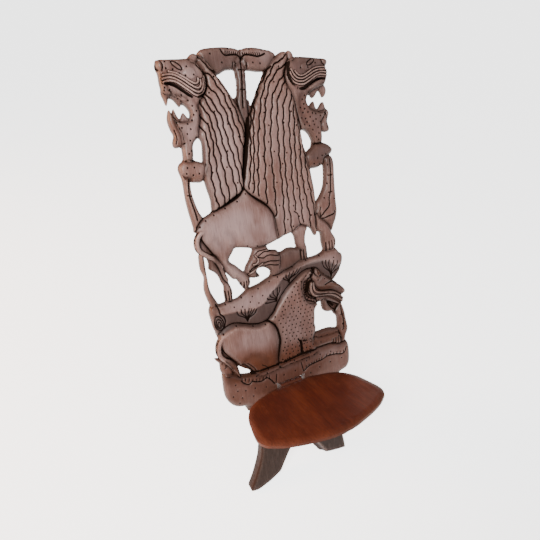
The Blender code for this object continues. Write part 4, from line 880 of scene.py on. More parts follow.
def clamped(value):
    """The value, kept from nothing to one."""
    return np.clip(value, 0.0, 1.0)


def eased(share):
    """A share that starts and ends gently."""
    return share * share * (3.0 - 2.0 * share)


def raise_to(mask, spot, value):
    """Raise a mask to the value where it is lower."""
    mask[spot] = np.maximum(mask[spot], value)


def quarter_round(depth_in, edge):
    """One at the edge of a form, nothing where its rounding ends."""
    share = clamped(1.0 - depth_in / edge)
    return 1.0 - np.sqrt(1.0 - share ** 2)


def joined(first, second):
    """The union of two forms, with a small web where their edges nearly meet."""
    web = clamped(1.0 - np.abs(first - second) / WEB)
    return np.maximum(first, second) + 0.25 * WEB * web * web


def ellipse(middle_u, middle_v, half_long, half_wide, tilt, count=14):
    """An oval line."""
    turn = np.linspace(0.0, 2.0 * math.pi, count, endpoint=False)
    lean = math.radians(tilt)
    along = half_long * np.cos(turn)
    across = half_wide * np.sin(turn)
    return np.stack([middle_u + along * math.cos(lean) - across * math.sin(lean),
                     middle_v + along * math.sin(lean) + across * math.cos(lean)], axis=1)


def spread(first, last, count):
    """Evenly spaced places from the first to the last."""
    for share in np.linspace(0.0, 1.0, count):
        yield (1.0 - share) * np.array(first) + share * np.array(last)


def between_samples(field, column, row, right, up):
    """The field's value between four neighbouring samples."""
    low = field[row, column] * (1.0 - right) + field[row, column + 1] * right
    high = field[row + 1, column] * (1.0 - right) + field[row + 1, column + 1] * right
    return low * (1.0 - up) + high * up


def waves(u, v, across, along, seed):
    """Smooth noise from -1 to 1, in patches of these sizes."""
    draw = np.random.default_rng(seed)
    x = (u + NOISE_LEFT) / across
    y = (v + NOISE_FOOT) / along
    knots = draw.uniform(-1.0, 1.0, (int(NOISE_LONG / along) + 4, int(NOISE_WIDE / across) + 4))
    column = np.floor(x).astype(int)
    row = np.floor(y).astype(int)
    return between_samples(knots, column, row, eased(x - column), eased(y - row))


def layered(u, v, layers):
    """Several layers of smooth noise, one on another."""
    return sum(depth * waves(u, v, across, along, seed) for depth, across, along, seed in layers)


def wavy(points, index):
    """A lock's groove, which wavers on its way down, each one at its own phase."""
    path = flowing(points, closed=False, steps=12)
    heading = np.gradient(path, axis=0)
    heading /= np.linalg.norm(heading, axis=1)[:, None]
    travel = np.concatenate([[0.0], np.cumsum(np.linalg.norm(np.diff(path, axis=0), axis=1))])
    turn = 2.0 * math.pi * travel / LOCK_WAVE
    sway = LOCK_SWING * (np.sin(turn + 1.7 * index) + 0.45 * np.sin(2.3 * turn + 2.9 * index))
    return path + sway[:, None] * np.stack([-heading[:, 1], heading[:, 0]], axis=1)


def bent_stem(root, tip):
    """A stem that leaves its root, sweeps outward and turns up at its tip."""
    reach = tip - root
    return flowing([root, root + reach * [0.20, 0.34], root + reach * [0.80, 0.66], tip],
                   closed=False, steps=5)


def all_forms():
    """Every raised form of the relief."""
    return (BACKING + LEGS + LOG + TREE + LEFT_MANE + LEFT_HEAD + RIGHT_MANE + RIGHT_HEAD
            + BRANCHES + STRIDING_LION + SMALL_LION + GROUND_BAND + LYING_LION + LYING_HEAD)


def all_grooves():
    """Every cut line of the relief, as a width, a depth and a path."""
    for index, lock in enumerate(LEFT_LOCKS + RIGHT_LOCKS):
        yield *LOCK_CUT, wavy(lock, index)
    for oval in EYES + KNOT:
        ring = ellipse(*oval)
        yield *OVAL_CUT, np.vstack([ring, ring[:1]])
    for line in LINES + FINE_LINES:
        yield min(line.width, WIDEST_LINE), line.depth, flowing(line.path, closed=False)
    for root, tips in BUSHES:
        for tip in tips:
            yield *STEM_CUT, bent_stem(np.array(root, dtype=float), np.array(tip, dtype=float))
    for first, last in TICKS:
        yield *TICK_CUT, np.array([first, last], dtype=float)
    for size, rows in ((TOE_CUT, TOES), (ROW_CUT, TICK_ROWS)):
        for first, last, count, reach in rows:
            for foot in spread(first, last, count):
                yield *size, np.array([foot, foot + np.array(reach)])


def all_pits():
    """Every round prick: the placed ones, and those that fill the manes."""
    yield from PITS
    draw = np.random.default_rng(7)
    for form, across, along, margin in (
            (LYING_LION[5], 14.0, 12.0, 8.0), (LEFT_MANE[0], 38.0, 34.0, 9.0),
            (RIGHT_MANE[0], 38.0, 34.0, 9.0)):
        path = flowing(form.outline, closed=True)
        low = path.min(axis=0)
        high = path.max(axis=0)
        for row, v in enumerate(np.arange(low[1], high[1], along)):
            for u in np.arange(low[0] + 0.5 * across * (row % 2), high[0], across):
                stray = draw.uniform(-PIT_STRAY, PIT_STRAY, 2)
                spot = np.array([u, v]) + stray * [across, along]
                depth_in = depth_inside(path, np.array([[spot[0]]]), np.array([[spot[1]]]))
                if depth_in[0, 0] > margin:
                    yield spot[0], spot[1]


def slot_hole(u, v):
    """How far inside the slot each place is. Its top edge is chipped."""
    wide = 0.5 * (TAIL_WIDTH + 2.0 * SLOT_SIDE_GAP) / MM
    foot = (SEAT_UP - SEAT_THICK - CLEARANCE) / MM
    top = (SEAT_UP + SLOT_TOP_GAP) / MM - CHIP_DROP + layered(u, v, CHIPS)
    return np.minimum(np.minimum(wide - np.abs(u), v - foot), top - v)


def soft_places(places, u, v):
    """A soft mask over a list of oval places."""
    mask = np.zeros(u.shape)
    for middle_u, middle_v, half_u, half_v, strength in places:
        reach = ((u - middle_u) / half_u) ** 2 + ((v - middle_v) / half_v) ** 2
        mask = np.maximum(mask, strength * np.exp(-reach * reach))
    return mask


def blurred(field, wood, reach):
    """The mean of the field over the wood near each place."""
    taps = np.exp(-0.5 * (np.arange(-2 * reach, 2 * reach + 1) / reach) ** 2)
    total = np.where(wood, field, 0.0)
    weight = wood.astype(float)
    for axis in (0, 1):
        total = np.apply_along_axis(np.convolve, axis, total, taps, mode="same")
        weight = np.apply_along_axis(np.convolve, axis, weight, taps, mode="same")
    return total / np.maximum(weight, 1e-6)


class Relief:
    """The carving on its grid of samples: how far inside the wood each place is, its
    height, and masks of its dark cuts (some of them painted shadow), of the painted shade with
    some grime beside its forms, of its shaded side and of the crests of its round folds."""

    def __init__(self, u, v):
        self.flat_u = u
        self.flat_v = v
        # The knife's path wavers a little from the drawing
        self.u = u + layered(u, v, WANDER_ACROSS)
        self.v = v + layered(u, v, WANDER_ALONG)
        self.inside = np.full(u.shape, OUTSIDE)
        self.height = np.full(u.shape, GROUND)
        self.cut = np.zeros(u.shape)
        self.grime = np.zeros(u.shape)
        self.shade = np.zeros(u.shape)
        self.crest = np.zeros(u.shape)

    def carve(self):
        """Take every step of the carving, from the large forms to the finest marks."""
        for form in all_forms():
            self.raise_form(form)
        self.soften_rims()
        for sink in SINKS:
            self.sink_part(sink)
        for line in VALLEYS:
            self.press_valley(line)
        for dome in DOMES:
            self.raise_dome(*dome)
        for half, rise, paths in RIBBONS:
            self.raise_folds(half, rise, paths)
        self.cut_lines()
        for width, points in INKED:
            self.ink(width, points)
        for tail in TAILS:
            self.lay_tail(tail)
        for pit_u, pit_v in all_pits():
            self.prick(pit_u, pit_v)
        # Faint knife facets along the wood, over broader ones
        self.height += layered(self.u, self.v, FACETS)
        self.height += layered(self.u, self.v, BROAD_FACETS)

    def within(self, points, margin):
        """Where a closed form can reach, and how far inside it each place there is."""
        path = flowing(points, closed=True)
        spot = near(path, self.flat_u, self.flat_v, margin)
        return spot, depth_inside(path, self.u[spot], self.v[spot])

    def beside(self, path, margin):
        """Where a line can reach, and how far from it each place there is."""
        spot = near(path, self.flat_u, self.flat_v, margin)
        return spot, distance_to(path, self.u[spot], self.v[spot], closed=False)

    def raise_form(self, form):
        """Raise a form. One that lies on another covers its outline and has its own."""
        spot, depth_in = self.within(form.outline, FORM_REACH)
        self.inside[spot] = joined(self.inside[spot], depth_in)
        face = form.top - form.drop * quarter_round(depth_in, form.edge)
        face = np.where(depth_in > -FACE_REACH, face, OUTSIDE)
        over = face > self.height[spot]
        raised = form.top > GROUND
        rim = clamped(1.0 - np.abs(depth_in - RIM_INSET) / RIM_INK) * raised
        # Painted shade with some grime round the form's outline
        edge_grime_and_shade = np.exp(-np.abs(depth_in) / GRIME_AND_SHADE_REACH) * raised
        below_cut = np.maximum(self.cut[spot], rim * (depth_in <= RIM_REACH))
        below_grime = np.maximum(self.grime[spot], edge_grime_and_shade * (depth_in <= 0.0))
        self.cut[spot] = np.where(over, rim, below_cut)
        self.grime[spot] = np.where(over, edge_grime_and_shade, below_grime)
        self.height[spot] = np.where(over, face, self.height[spot])

    def soften_rims(self):
        """Round the edges against the open air, which also carry less painted shade and grime."""
        air = clamped((self.inside - AIR_RIM) / AIR_FADE)
        self.cut *= air
        self.grime *= AIR_GRIME_AND_SHADE + (1.0 - AIR_GRIME_AND_SHADE) * air
        above_seat = clamped((self.flat_v - CHAMFER_FOOT) / CHAMFER_FADE)
        turned = above_seat * (self.height > GROUND + ROUND_FROM)
        self.height -= ROUND_DROP * turned * quarter_round(np.maximum(self.inside, 0.0), ROUND_EDGE)

    def sink_part(self, sink):
        """Sink a part of the carving, which lies in shade."""
        spot, depth_in = self.within(sink.outline, SINK_REACH)
        share = eased(clamped(depth_in / sink.edge))
        self.height[spot] -= sink.depth * share
        raise_to(self.shade, spot, share)

    def press_valley(self, line):
        """Press a broad soft valley into a form, with painted shade along it."""
        spot, away = self.beside(flowing(line.path, closed=False), line.width)
        dip = np.exp(-(2.0 * away / line.width) ** 2)
        self.height[spot] -= line.depth * dip
        raise_to(self.grime, spot, VALLEY_GRIME_AND_SHADE * dip)

    def raise_dome(self, middle_u, middle_v, half_u, half_v, rise):
        """Raise a small dome, with painted shade and some grime round its foot."""
        reach = np.hypot((self.u - middle_u) / half_u, (self.v - middle_v) / half_v)
        self.height += rise * np.sqrt(clamped(1.0 - reach ** 2))
        foot = clamped(1.0 - np.abs(reach - 1.0) / DOME_FOOT)
        self.grime = np.maximum(self.grime, DOME_GRIME_AND_SHADE * foot)

    def raise_folds(self, half, rise, paths):
        """Raise round folds, with a dark line along their sides and crests for painted highlights.
        """
        nearest = np.full(self.u.shape, -OUTSIDE)
        for points in paths:
            spot, away = self.beside(flowing(points, closed=False), 4.0 * half)
            nearest[spot] = np.minimum(nearest[spot], away)
        self.height += rise * np.sqrt(clamped(1.0 - (nearest / half) ** 2))
        line = clamped(1.0 - np.abs(nearest - half) / FOLD_LINE)
        self.height -= FOLD_DEPTH * line
        self.cut = np.maximum(self.cut, line)
        self.crest = np.maximum(self.crest, clamped(1.2 - 1.6 * nearest / half))

    def cut_lines(self):
        """Cut every groove, dark in the middle, with painted shade and some grime along its sides.
        """
        trench = np.zeros(self.u.shape)
        for width, depth, path in all_grooves():
            spot, away = self.beside(path, 2.5 * width)
            blade = clamped(1.0 - 2.0 * away / width)
            dip = depth * blade ** 0.8 + 0.18 * depth * np.exp(-(away / width) ** 2)
            raise_to(trench, spot, dip)
            raise_to(self.cut, spot, blade)
            raise_to(self.grime, spot, CUT_GRIME_AND_SHADE * np.exp(-away / (0.6 * width)))
        self.height -= trench

    def ink(self, width, points):
        """Darken a line without cutting it; some of these lines are painted shadow."""
        spot, away = self.beside(flowing(points, closed=False), width)
        raise_to(self.cut, spot, clamped(1.6 - 2.0 * away / width))

    def lay_tail(self, tail):
        """Lay a round tail over the wood, with its own outline, and painted shade with some grime
        along its edges.
        """
        half = 0.5 * tail.width
        spot, away = self.beside(flowing(tail.path, closed=False), tail.width)
        depth_in = half - away
        raise_to(self.inside, spot, depth_in)
        face = tail.depth - TAIL_FALL * quarter_round(depth_in, half)
        over = (depth_in > 0.0) & (face > self.height[spot])
        self.height[spot] = np.where(over, face, self.height[spot])
        self.cut[spot] = np.where(over, clamped(1.0 - depth_in / TAIL_INK), self.cut[spot])
        edge_grime_and_shade = TAIL_GRIME_AND_SHADE * np.exp(-depth_in / TAIL_GRIME_AND_SHADE_REACH)
        self.grime[spot] = np.where(over, edge_grime_and_shade, self.grime[spot])

    def prick(self, pit_u, pit_v):
        """Prick one small pit, a little longer than wide."""
        spot = near(np.array([[pit_u, pit_v]]), self.flat_u, self.flat_v, PIT_REACH)
        along = (self.flat_v[spot] - pit_v) / PIT_STRETCH
        away = np.hypot(self.flat_u[spot] - pit_u, along) / PIT_SIZE
        dip = clamped(1.0 - away) ** 0.6
        self.height[spot] -= PIT_DEPTH * dip
        raise_to(self.cut, spot, clamped(1.2 * dip))


def plain_back(v, inside, front):
    """The height of the plank's back, which is flat but for the chamfers."""
    fade = clamped((v - CHAMFER_FOOT) / CHAMFER_FADE)
    chamfer = fade * np.clip(CHAMFER - inside, 0.0, CHAMFER)
    return np.maximum(np.minimum(chamfer - PATTERN_THICK, front - RIM), -PATTERN_THICK)


def crossing(a, b):
    """Where between two samples the wood ends, kept off both of them."""
    return min(max(a / (a - b), SLIVER), 1.0 - SLIVER)


def plate(name, u_axis, v_axis, inside, front, back):
    """A closed body between a front and a back surface, wherever inside is positive."""
    points = []
    numbers = {}
    faces = []
    rims = []

    def corner(row, column):
        key = (row, column)
        if key not in numbers:
            numbers[key] = len(points)
            points.append((u_axis[column], v_axis[row], front[row, column], back[row, column]))
        return numbers[key]

    def edge_point(first, second):
        key = (min(first, second), max(first, second))
        if key not in numbers:
            (ra, ca), (rb, cb) = key
            share = crossing(inside[ra, ca], inside[rb, cb])
            inner = key[0] if inside[ra, ca] > 0 else key[1]
            lower = min(front[key[0]], front[key[1]])
            numbers[key] = len(points)
            points.append((u_axis[ca] + share * (u_axis[cb] - u_axis[ca]),
                           v_axis[ra] + share * (v_axis[rb] - v_axis[ra]),
                           front[inner] + 0.5 * (lower - front[inner]), back[inner]))
        return numbers[key]

    wood = inside > 0.0
    count = wood[:-1, :-1].astype(int) + wood[:-1, 1:] + wood[1:, :-1] + wood[1:, 1:]
    for row, column in zip(*np.nonzero(count)):
        ring = [(row, column), (row, column + 1), (row + 1, column + 1), (row + 1, column)]
        face = []
        cuts = []
        for first, second in zip(ring, ring[1:] + ring[:1]):
            if wood[first]:
                face.append(corner(*first))
            if wood[first] != wood[second]:
                face.append(edge_point(first, second))
                cuts.append((face[-1], wood[first]))
        faces.append(face)
        for index, (number, leaving) in enumerate(cuts):
            if leaving:
                rims.append((number, cuts[(index + 1) % len(cuts)][0]))

    total = len(points)
    mesh = bpy.data.meshes.new(name)
    verts = [(u, v, top) for u, v, top, _ in points] + [(u, v, low) for u, v, _, low in points]
    shell = [tuple(face) for face in faces]
    shell += [tuple(number + total for number in reversed(face)) for face in faces]
    shell += [(b, a, a + total, b + total) for a, b in rims]
    mesh.from_pydata(verts, [], shell)
    mesh.update()
    return mesh


def keep_largest(mesh):
    """Drop crumbs that the outlines leave beside the main body."""
    body = bmesh.new()
    body.from_mesh(mesh)
    left = set(body.verts)
    islands = []
    while left:
        stack = [left.pop()]
        island = list(stack)
        while stack:
            for edge in stack.pop().link_edges:
                for vert in edge.verts:
                    if vert in left:
                        left.remove(vert)
                        stack.append(vert)
                        island.append(vert)
        islands.append(island)
    islands.sort(key=len)
    for island in islands[:-1]:
        bmesh.ops.delete(body, geom=island, context="VERTS")
    body.to_mesh(mesh)
    body.free()


def cut_at_floor(mesh):
    """Cut off and close what is under the floor."""
    body = bmesh.new()
    body.from_mesh(mesh)
    geometry = body.verts[:] + body.edges[:] + body.faces[:]
    cut = bmesh.ops.bisect_plane(body, geom=geometry, dist=1e-6, plane_co=(0.0, 0.0, 0.0),
                                 plane_no=(0.0, 0.0, 1.0), clear_inner=True)
    rim = [item for item in cut["geom_cut"] if isinstance(item, bmesh.types.BMEdge)]
    bmesh.ops.holes_fill(body, edges=rim, sides=0)
    body.to_mesh(mesh)
    body.free()


def add_object(name, data):
    """Put a mesh, a lamp or a camera into the scene."""
    item = bpy.data.objects.new(name, data)
    bpy.context.scene.collection.objects.link(item)
    return item


def thin_out(mesh, faces):
    """Keep about this many faces, where the form needs them."""
    holder = add_object("thinning", mesh)
    triangles = sum(len(face.vertices) - 2 for face in mesh.polygons)
    thin = holder.modifiers.new("thin", "DECIMATE")
    thin.ratio = min(1.0, faces / triangles)
    view = bpy.context.evaluated_depsgraph_get()
    view.update()
    thinned = bpy.data.meshes.new_from_object(holder.evaluated_get(view))
    bpy.data.objects.remove(holder)
    bpy.data.meshes.remove(mesh)
    return thinned


def look_up(field, u_line, v_line, u, v):
    """The field's value at each point, between its samples."""
    x = np.clip((u - u_line[0]) / (u_line[1] - u_line[0]), 0.0, len(u_line) - 1.001)
    y = np.clip((v - v_line[0]) / (v_line[1] - v_line[0]), 0.0, len(v_line) - 1.001)
    column = x.astype(int)
    row = y.astype(int)
    return between_samples(field, column, row, x - column, y - row)


def places_of(mesh):
    """The mesh's points as rows of three numbers."""
    flat = np.empty(3 * len(mesh.vertices))
    mesh.vertices.foreach_get("co", flat)
    return flat.reshape(-1, 3)


def paint(mesh, name, values):
    """Give each point of the mesh a number that its finish reads."""
    layer = mesh.attributes.new(name, "FLOAT", "POINT")
    layer.data.foreach_set("value", np.asarray(values, dtype=np.float32))


def keep_places(mesh):
    """Give each point its place in the plank, which the grain follows."""
    layer = mesh.attributes.new("plank_place", "FLOAT_VECTOR", "POINT")
    layer.data.foreach_set("vector", places_of(mesh).astype(np.float32).ravel())


def finish_mesh(mesh, triangles):
    """One body of about so many triangles, whose points know their places."""
    keep_largest(mesh)
    mesh = thin_out(mesh, triangles)
    keep_places(mesh)
    return mesh


def add_piece(name, mesh, material, node):
    """Show the mesh in place of a CAD node."""
    mesh.materials.clear()
    mesh.materials.append(material)
    mesh.shade_smooth()
    mesh.set_sharp_from_angle(angle=SHARP_ANGLE)
    piece = add_object(name, mesh)
    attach(piece, "root")
    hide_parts(node)


def matrix_of(first, second, third, place):
    """From a thing's own three axes and origin to the world."""
    turned = Matrix((first, second, third)).transposed().to_4x4()
    turned.translation = place
    return turned


def board_frame():
    """From the plank's own axes (right, up the plank, out of its front) to the world."""
    up = Vector((0.0, math.sin(LEAN), math.cos(LEAN)))
    out = Vector((0.0, -math.cos(LEAN), math.sin(LEAN)))
    return matrix_of(RIGHT, up, out, PLACE)


def seat_frame():
    """From the seat's own axes (right, forward, up through it) to the world."""
    plank = board_frame()
    return matrix_of(RIGHT, plank.col[2].to_3d(), plank.col[1].to_3d(),
                     plank @ Vector((0.0, SEAT_UP, 0.0)))


def back_board():
    """The leaning plank, carved."""
    wide = 0.5 * PATTERN_WIDE + SIDE_MARGIN
    u_line = np.arange(-wide, wide + CARVING_STEP, CARVING_STEP)
    v_line = np.arange(-END_MARGIN, PATTERN_LONG + END_MARGIN + CARVING_STEP, CARVING_STEP)
    u, v = np.meshgrid(u_line, v_line)
    relief = Relief(u, v)
    relief.carve()
    back = plain_back(v, relief.inside, relief.height)
    inside = np.minimum(relief.inside, -slot_hole(u, v))
    # How far each place stands above the wood round it
    rise = relief.height - blurred(relief.height, inside > 0.0, round(BLUR / CARVING_STEP))
    scallop = sum(depth * np.abs(waves(u, v, across, along, seed))
                  for depth, across, along, seed in SCALLOPS)
    back = MM * (back + scallop * (back <= -PATTERN_THICK))
    mesh = plate("carved_back_board", u_line * BOARD_WIDTH / PATTERN_WIDE,
                 v_line * BOARD_LENGTH / PATTERN_LONG, inside, relief.height * MM, back)
    mesh = finish_mesh(mesh, BOARD_TRIANGLES)
    points = places_of(mesh)
    point_u = points[:, 0] * PATTERN_WIDE / BOARD_WIDTH
    point_v = points[:, 1] * PATTERN_LONG / BOARD_LENGTH
    front = clamped((points[:, 2] + BOARD_THICK) / (FRONT_FADE * BOARD_THICK))

    def seen(field):
        return front * look_up(field, u_line, v_line, point_u, point_v)

    paint(mesh, "cut", seen(relief.cut))
    # Painted shade with some grime beside the forms and along the cuts
    paint(mesh, "grime", seen(relief.grime))
    # Painted shade where a place lies lower than the wood round it
    paint(mesh, "hollow", seen(clamped(-rise / HOLLOW_DEPTH)))
    # Painted highlights, with some wear, on the high places and the crests of the folds
    paint(mesh, "worn_and_lit", seen(np.clip(rise / CREST_RISE + 0.8 * relief.crest, 0.0, 1.3)))
    # Painted shade in the sunk parts and the dark places, less on the crests
    dark = np.maximum(relief.shade, soft_places(DARK_PLACES, u, v)) * (1.0 - 0.7 * relief.crest)
    paint(mesh, "shade", seen(dark))
    # Redder wood low down, and painted warm light on some left edges
    paint(mesh, "red", front * soft_places(RED_PLACES, point_u, point_v))
    # Painted highlights on the broad pale places
    paint(mesh, "pale", front * soft_places(HIGHLIGHT_PLACES, point_u, point_v))
    paint(mesh, "plain", clamped((LEG_TOP - point_v) / LEG_FADE))
    mesh.transform(board_frame())
    cut_at_floor(mesh)
    add_piece("carved_back_board", mesh, carved_wood(), "back_board")


def seat_outline():
    """The seat's closed outline with its shoulders against the plank, in metres."""
    right = flowing([(0.5 * wide * SEAT_WIDTH, forward * SEAT_DEPTH)
                     for forward, wide in SEAT_PLAN], closed=False, steps=6)
    left = right[-2::-1] * [-1.0, 1.0]
    return np.vstack([right, left])


def seat_board():
    """The seat plank with its tail, as u to the right and s forward from the plank."""
    step = SEAT_STEP * MM
    drop = SEAT_UP * math.cos(LEAN) - SEAT_THICK * math.cos(LEAN) + PLACE.z
    tail_long = drop / math.sin(LEAN) + TAIL_HEEL
    u_line = np.arange(-0.5 * SEAT_WIDTH - step, 0.5 * SEAT_WIDTH + 1.5 * step, step)
    s_line = np.arange(-tail_long - step, SEAT_DEPTH + 1.5 * step, step)
    u, s = np.meshgrid(u_line, s_line)
    outline = seat_outline()
    on_seat = np.minimum(depth_inside(outline, u, s), s - CLEARANCE)
    on_tail = np.minimum(0.5 * TAIL_WIDTH - np.abs(u), s + tail_long)
    # The tail starts within the seat, and nothing else goes past the plank's front
    inside = np.where(s > 0.5 * step, on_seat, np.minimum(on_tail, 1.0))
    inside = np.maximum(inside, np.where(s < TAIL_ROOT * SEAT_DEPTH, on_tail, -1.0))
    rim = np.where(s > 0.0, np.clip(on_seat, 0.0, None), SEAT_RIM)
    dish = SEAT_DISH * clamped(on_seat / (DISH_REACH * SEAT_WIDTH)) ** DISH_POWER
    slope = clamped(1.0 - rim / SEAT_RIM)
    bevel = SEAT_RIM_DROP * sum(share * slope ** power for share, power in RIM_FALL)
    ripple = layered(u / MM, RIPPLE_PLACE + 0.5 * s / MM, SEAT_RIPPLES)
    top = -bevel - np.where(s > 0.0, dish, 0.0) + MM * (ripple - RIPPLE_DROP)
    free = distance_to(outline, u, s, closed=False)
    undercut = clamped(1.0 - free / SEAT_UNDERCUT) * clamped(s / SEAT_ROOT)
    low = -SEAT_THICK + (SEAT_THICK - SEAT_RIM_DROP - SEAT_EDGE) * undercut
    mesh = plate("oiled_seat_board", u_line, s_line, inside, top, low)
    mesh = finish_mesh(mesh, SEAT_TRIANGLES)
    points = places_of(mesh)
    deep_in = look_up(on_seat, u_line, s_line, points[:, 0], points[:, 1])
    upper = points[:, 2] > -0.5 * SEAT_THICK
    bevelled = clamped(1.0 - deep_in / SEAT_RIM) * (points[:, 1] > 0.0)
    paint(mesh, "rim", np.where(upper, bevelled, 0.0))
    # The rim's right edge is worn and carries a painted highlight
    right_side = clamped(points[:, 0] / (RIGHT_REACH * SEAT_WIDTH))
    paint(mesh, "worn_and_lit", np.where(upper, right_side * bevelled ** RUB_POWER, 0.0))
    paint(mesh, "foot", np.where(upper, 0.0, 1.0))
    mesh.transform(seat_frame())
    # The seat's own axes are left-handed
    mesh.flip_normals()
    cut_at_floor(mesh)
    add_piece("oiled_seat_board", mesh, seat_wood(), "seat_board")


class Finish:
    """A procedural material that is built up node by node."""

    def __init__(self, name):
        self.material = bpy.data.materials.new(name)
        self.material.use_nodes = True
        self.tree = self.material.node_tree
        self.shader = self.tree.nodes["Principled BSDF"]

    def set(self, socket, value):
        """Link a socket, or give it a constant."""
        if isinstance(value, bpy.types.NodeSocket):
            self.tree.links.new(value, socket)
        elif value is not None:
            socket.default_value = value

    def shade(self, **inputs):
        """Link or set the shader's inputs, whose names have low lines for spaces."""
        for key, value in inputs.items():
            self.set(self.shader.inputs[key.replace("_", " ")], value)

    def add(self, kind, inputs, output=0, **settings):
        """A node with its settings and inputs; gives back one of its outputs."""
        node = self.tree.nodes.new(kind)
        for key, value in settings.items():
            setattr(node, key, value)
        for key, value in inputs.items():
            self.set(node.inputs[key], value)
        return node.outputs[output]

    def number(self, name):
        """A number painted on the mesh."""
        return self.add("ShaderNodeAttribute", {}, output="Fac", attribute_name=name)

    def place(self, stretch):
        """The place in the plank, scaled along each of its axes."""
        spot = self.add("ShaderNodeAttribute", {}, output="Vector",
                        attribute_name="plank_place")
        return self.add("ShaderNodeVectorMath", {0: spot, 1: stretch}, operation="MULTIPLY")

    def noise(self, stretch, detail=4.0, roughness=0.55, distortion=0.0):
        """Noise whose patches are one over the stretch in size."""
        return self.add("ShaderNodeTexNoise", {
            "Vector": self.place(stretch), "Scale": 1.0, "Detail": detail,
            "Roughness": roughness, "Distortion": distortion}, output="Fac")

    def maths(self, operation, first, second=None, third=None):
        """One step of arithmetic."""
        return self.add("ShaderNodeMath", {0: first, 1: second, 2: third},
                        operation=operation)

    def times(self, first, second):
        """One value times another."""
        return self.maths("MULTIPLY", first, second)

    def line(self, value, slope, start):
        """A straight line: the start, and so much more for each one of the value."""
        return self.maths("MULTIPLY_ADD", value, slope, start)

    def along(self, vector, direction):
        """How far a vector goes along a direction."""
        return self.add("ShaderNodeVectorMath", {0: vector, 1: direction},
                        output="Value", operation="DOT_PRODUCT")

    def between(self, value, low, high):
        """Nothing at low, one at high, and smooth in between."""
        return self.add("ShaderNodeMapRange", {
            "Value": value, "From Min": low, "From Max": high}, interpolation_type="SMOOTHSTEP")

    def ramp(self, value, stops):
        """Colours along a value."""
        node = self.tree.nodes.new("ShaderNodeValToRGB")
        self.set(node.inputs[0], value)
        while len(node.color_ramp.elements) < len(stops):
            node.color_ramp.elements.new(0.5)
        for element, (position, colour) in zip(node.color_ramp.elements, stops):
            element.position = position
            element.color = (*colour, 1.0)
        return node.outputs[0]

    def mix(self, share, first, second):
        """Two colours mixed."""
        node = self.tree.nodes.new("ShaderNodeMix")
        node.data_type = "RGBA"
        self.set(node.inputs[0], share)
        for socket, value in ((node.inputs[6], first), (node.inputs[7], second)):
            self.set(socket, (*value, 1.0) if isinstance(value, tuple) else value)
        return node.outputs[2]

    def tint(self, colour, share, strength, cover):
        """A colour with another laid over it, so strongly where the share is one."""
        return self.mix(self.times(share, strength), colour, cover)

    def texture(self, *layers):
        """A fine surface texture of several layers: each a height, its size and strength."""
        normal = None
        for height, distance, strength in layers:
            normal = self.add("ShaderNodeBump", {
                "Height": height, "Distance": distance, "Strength": strength, "Normal": normal})
        return normal


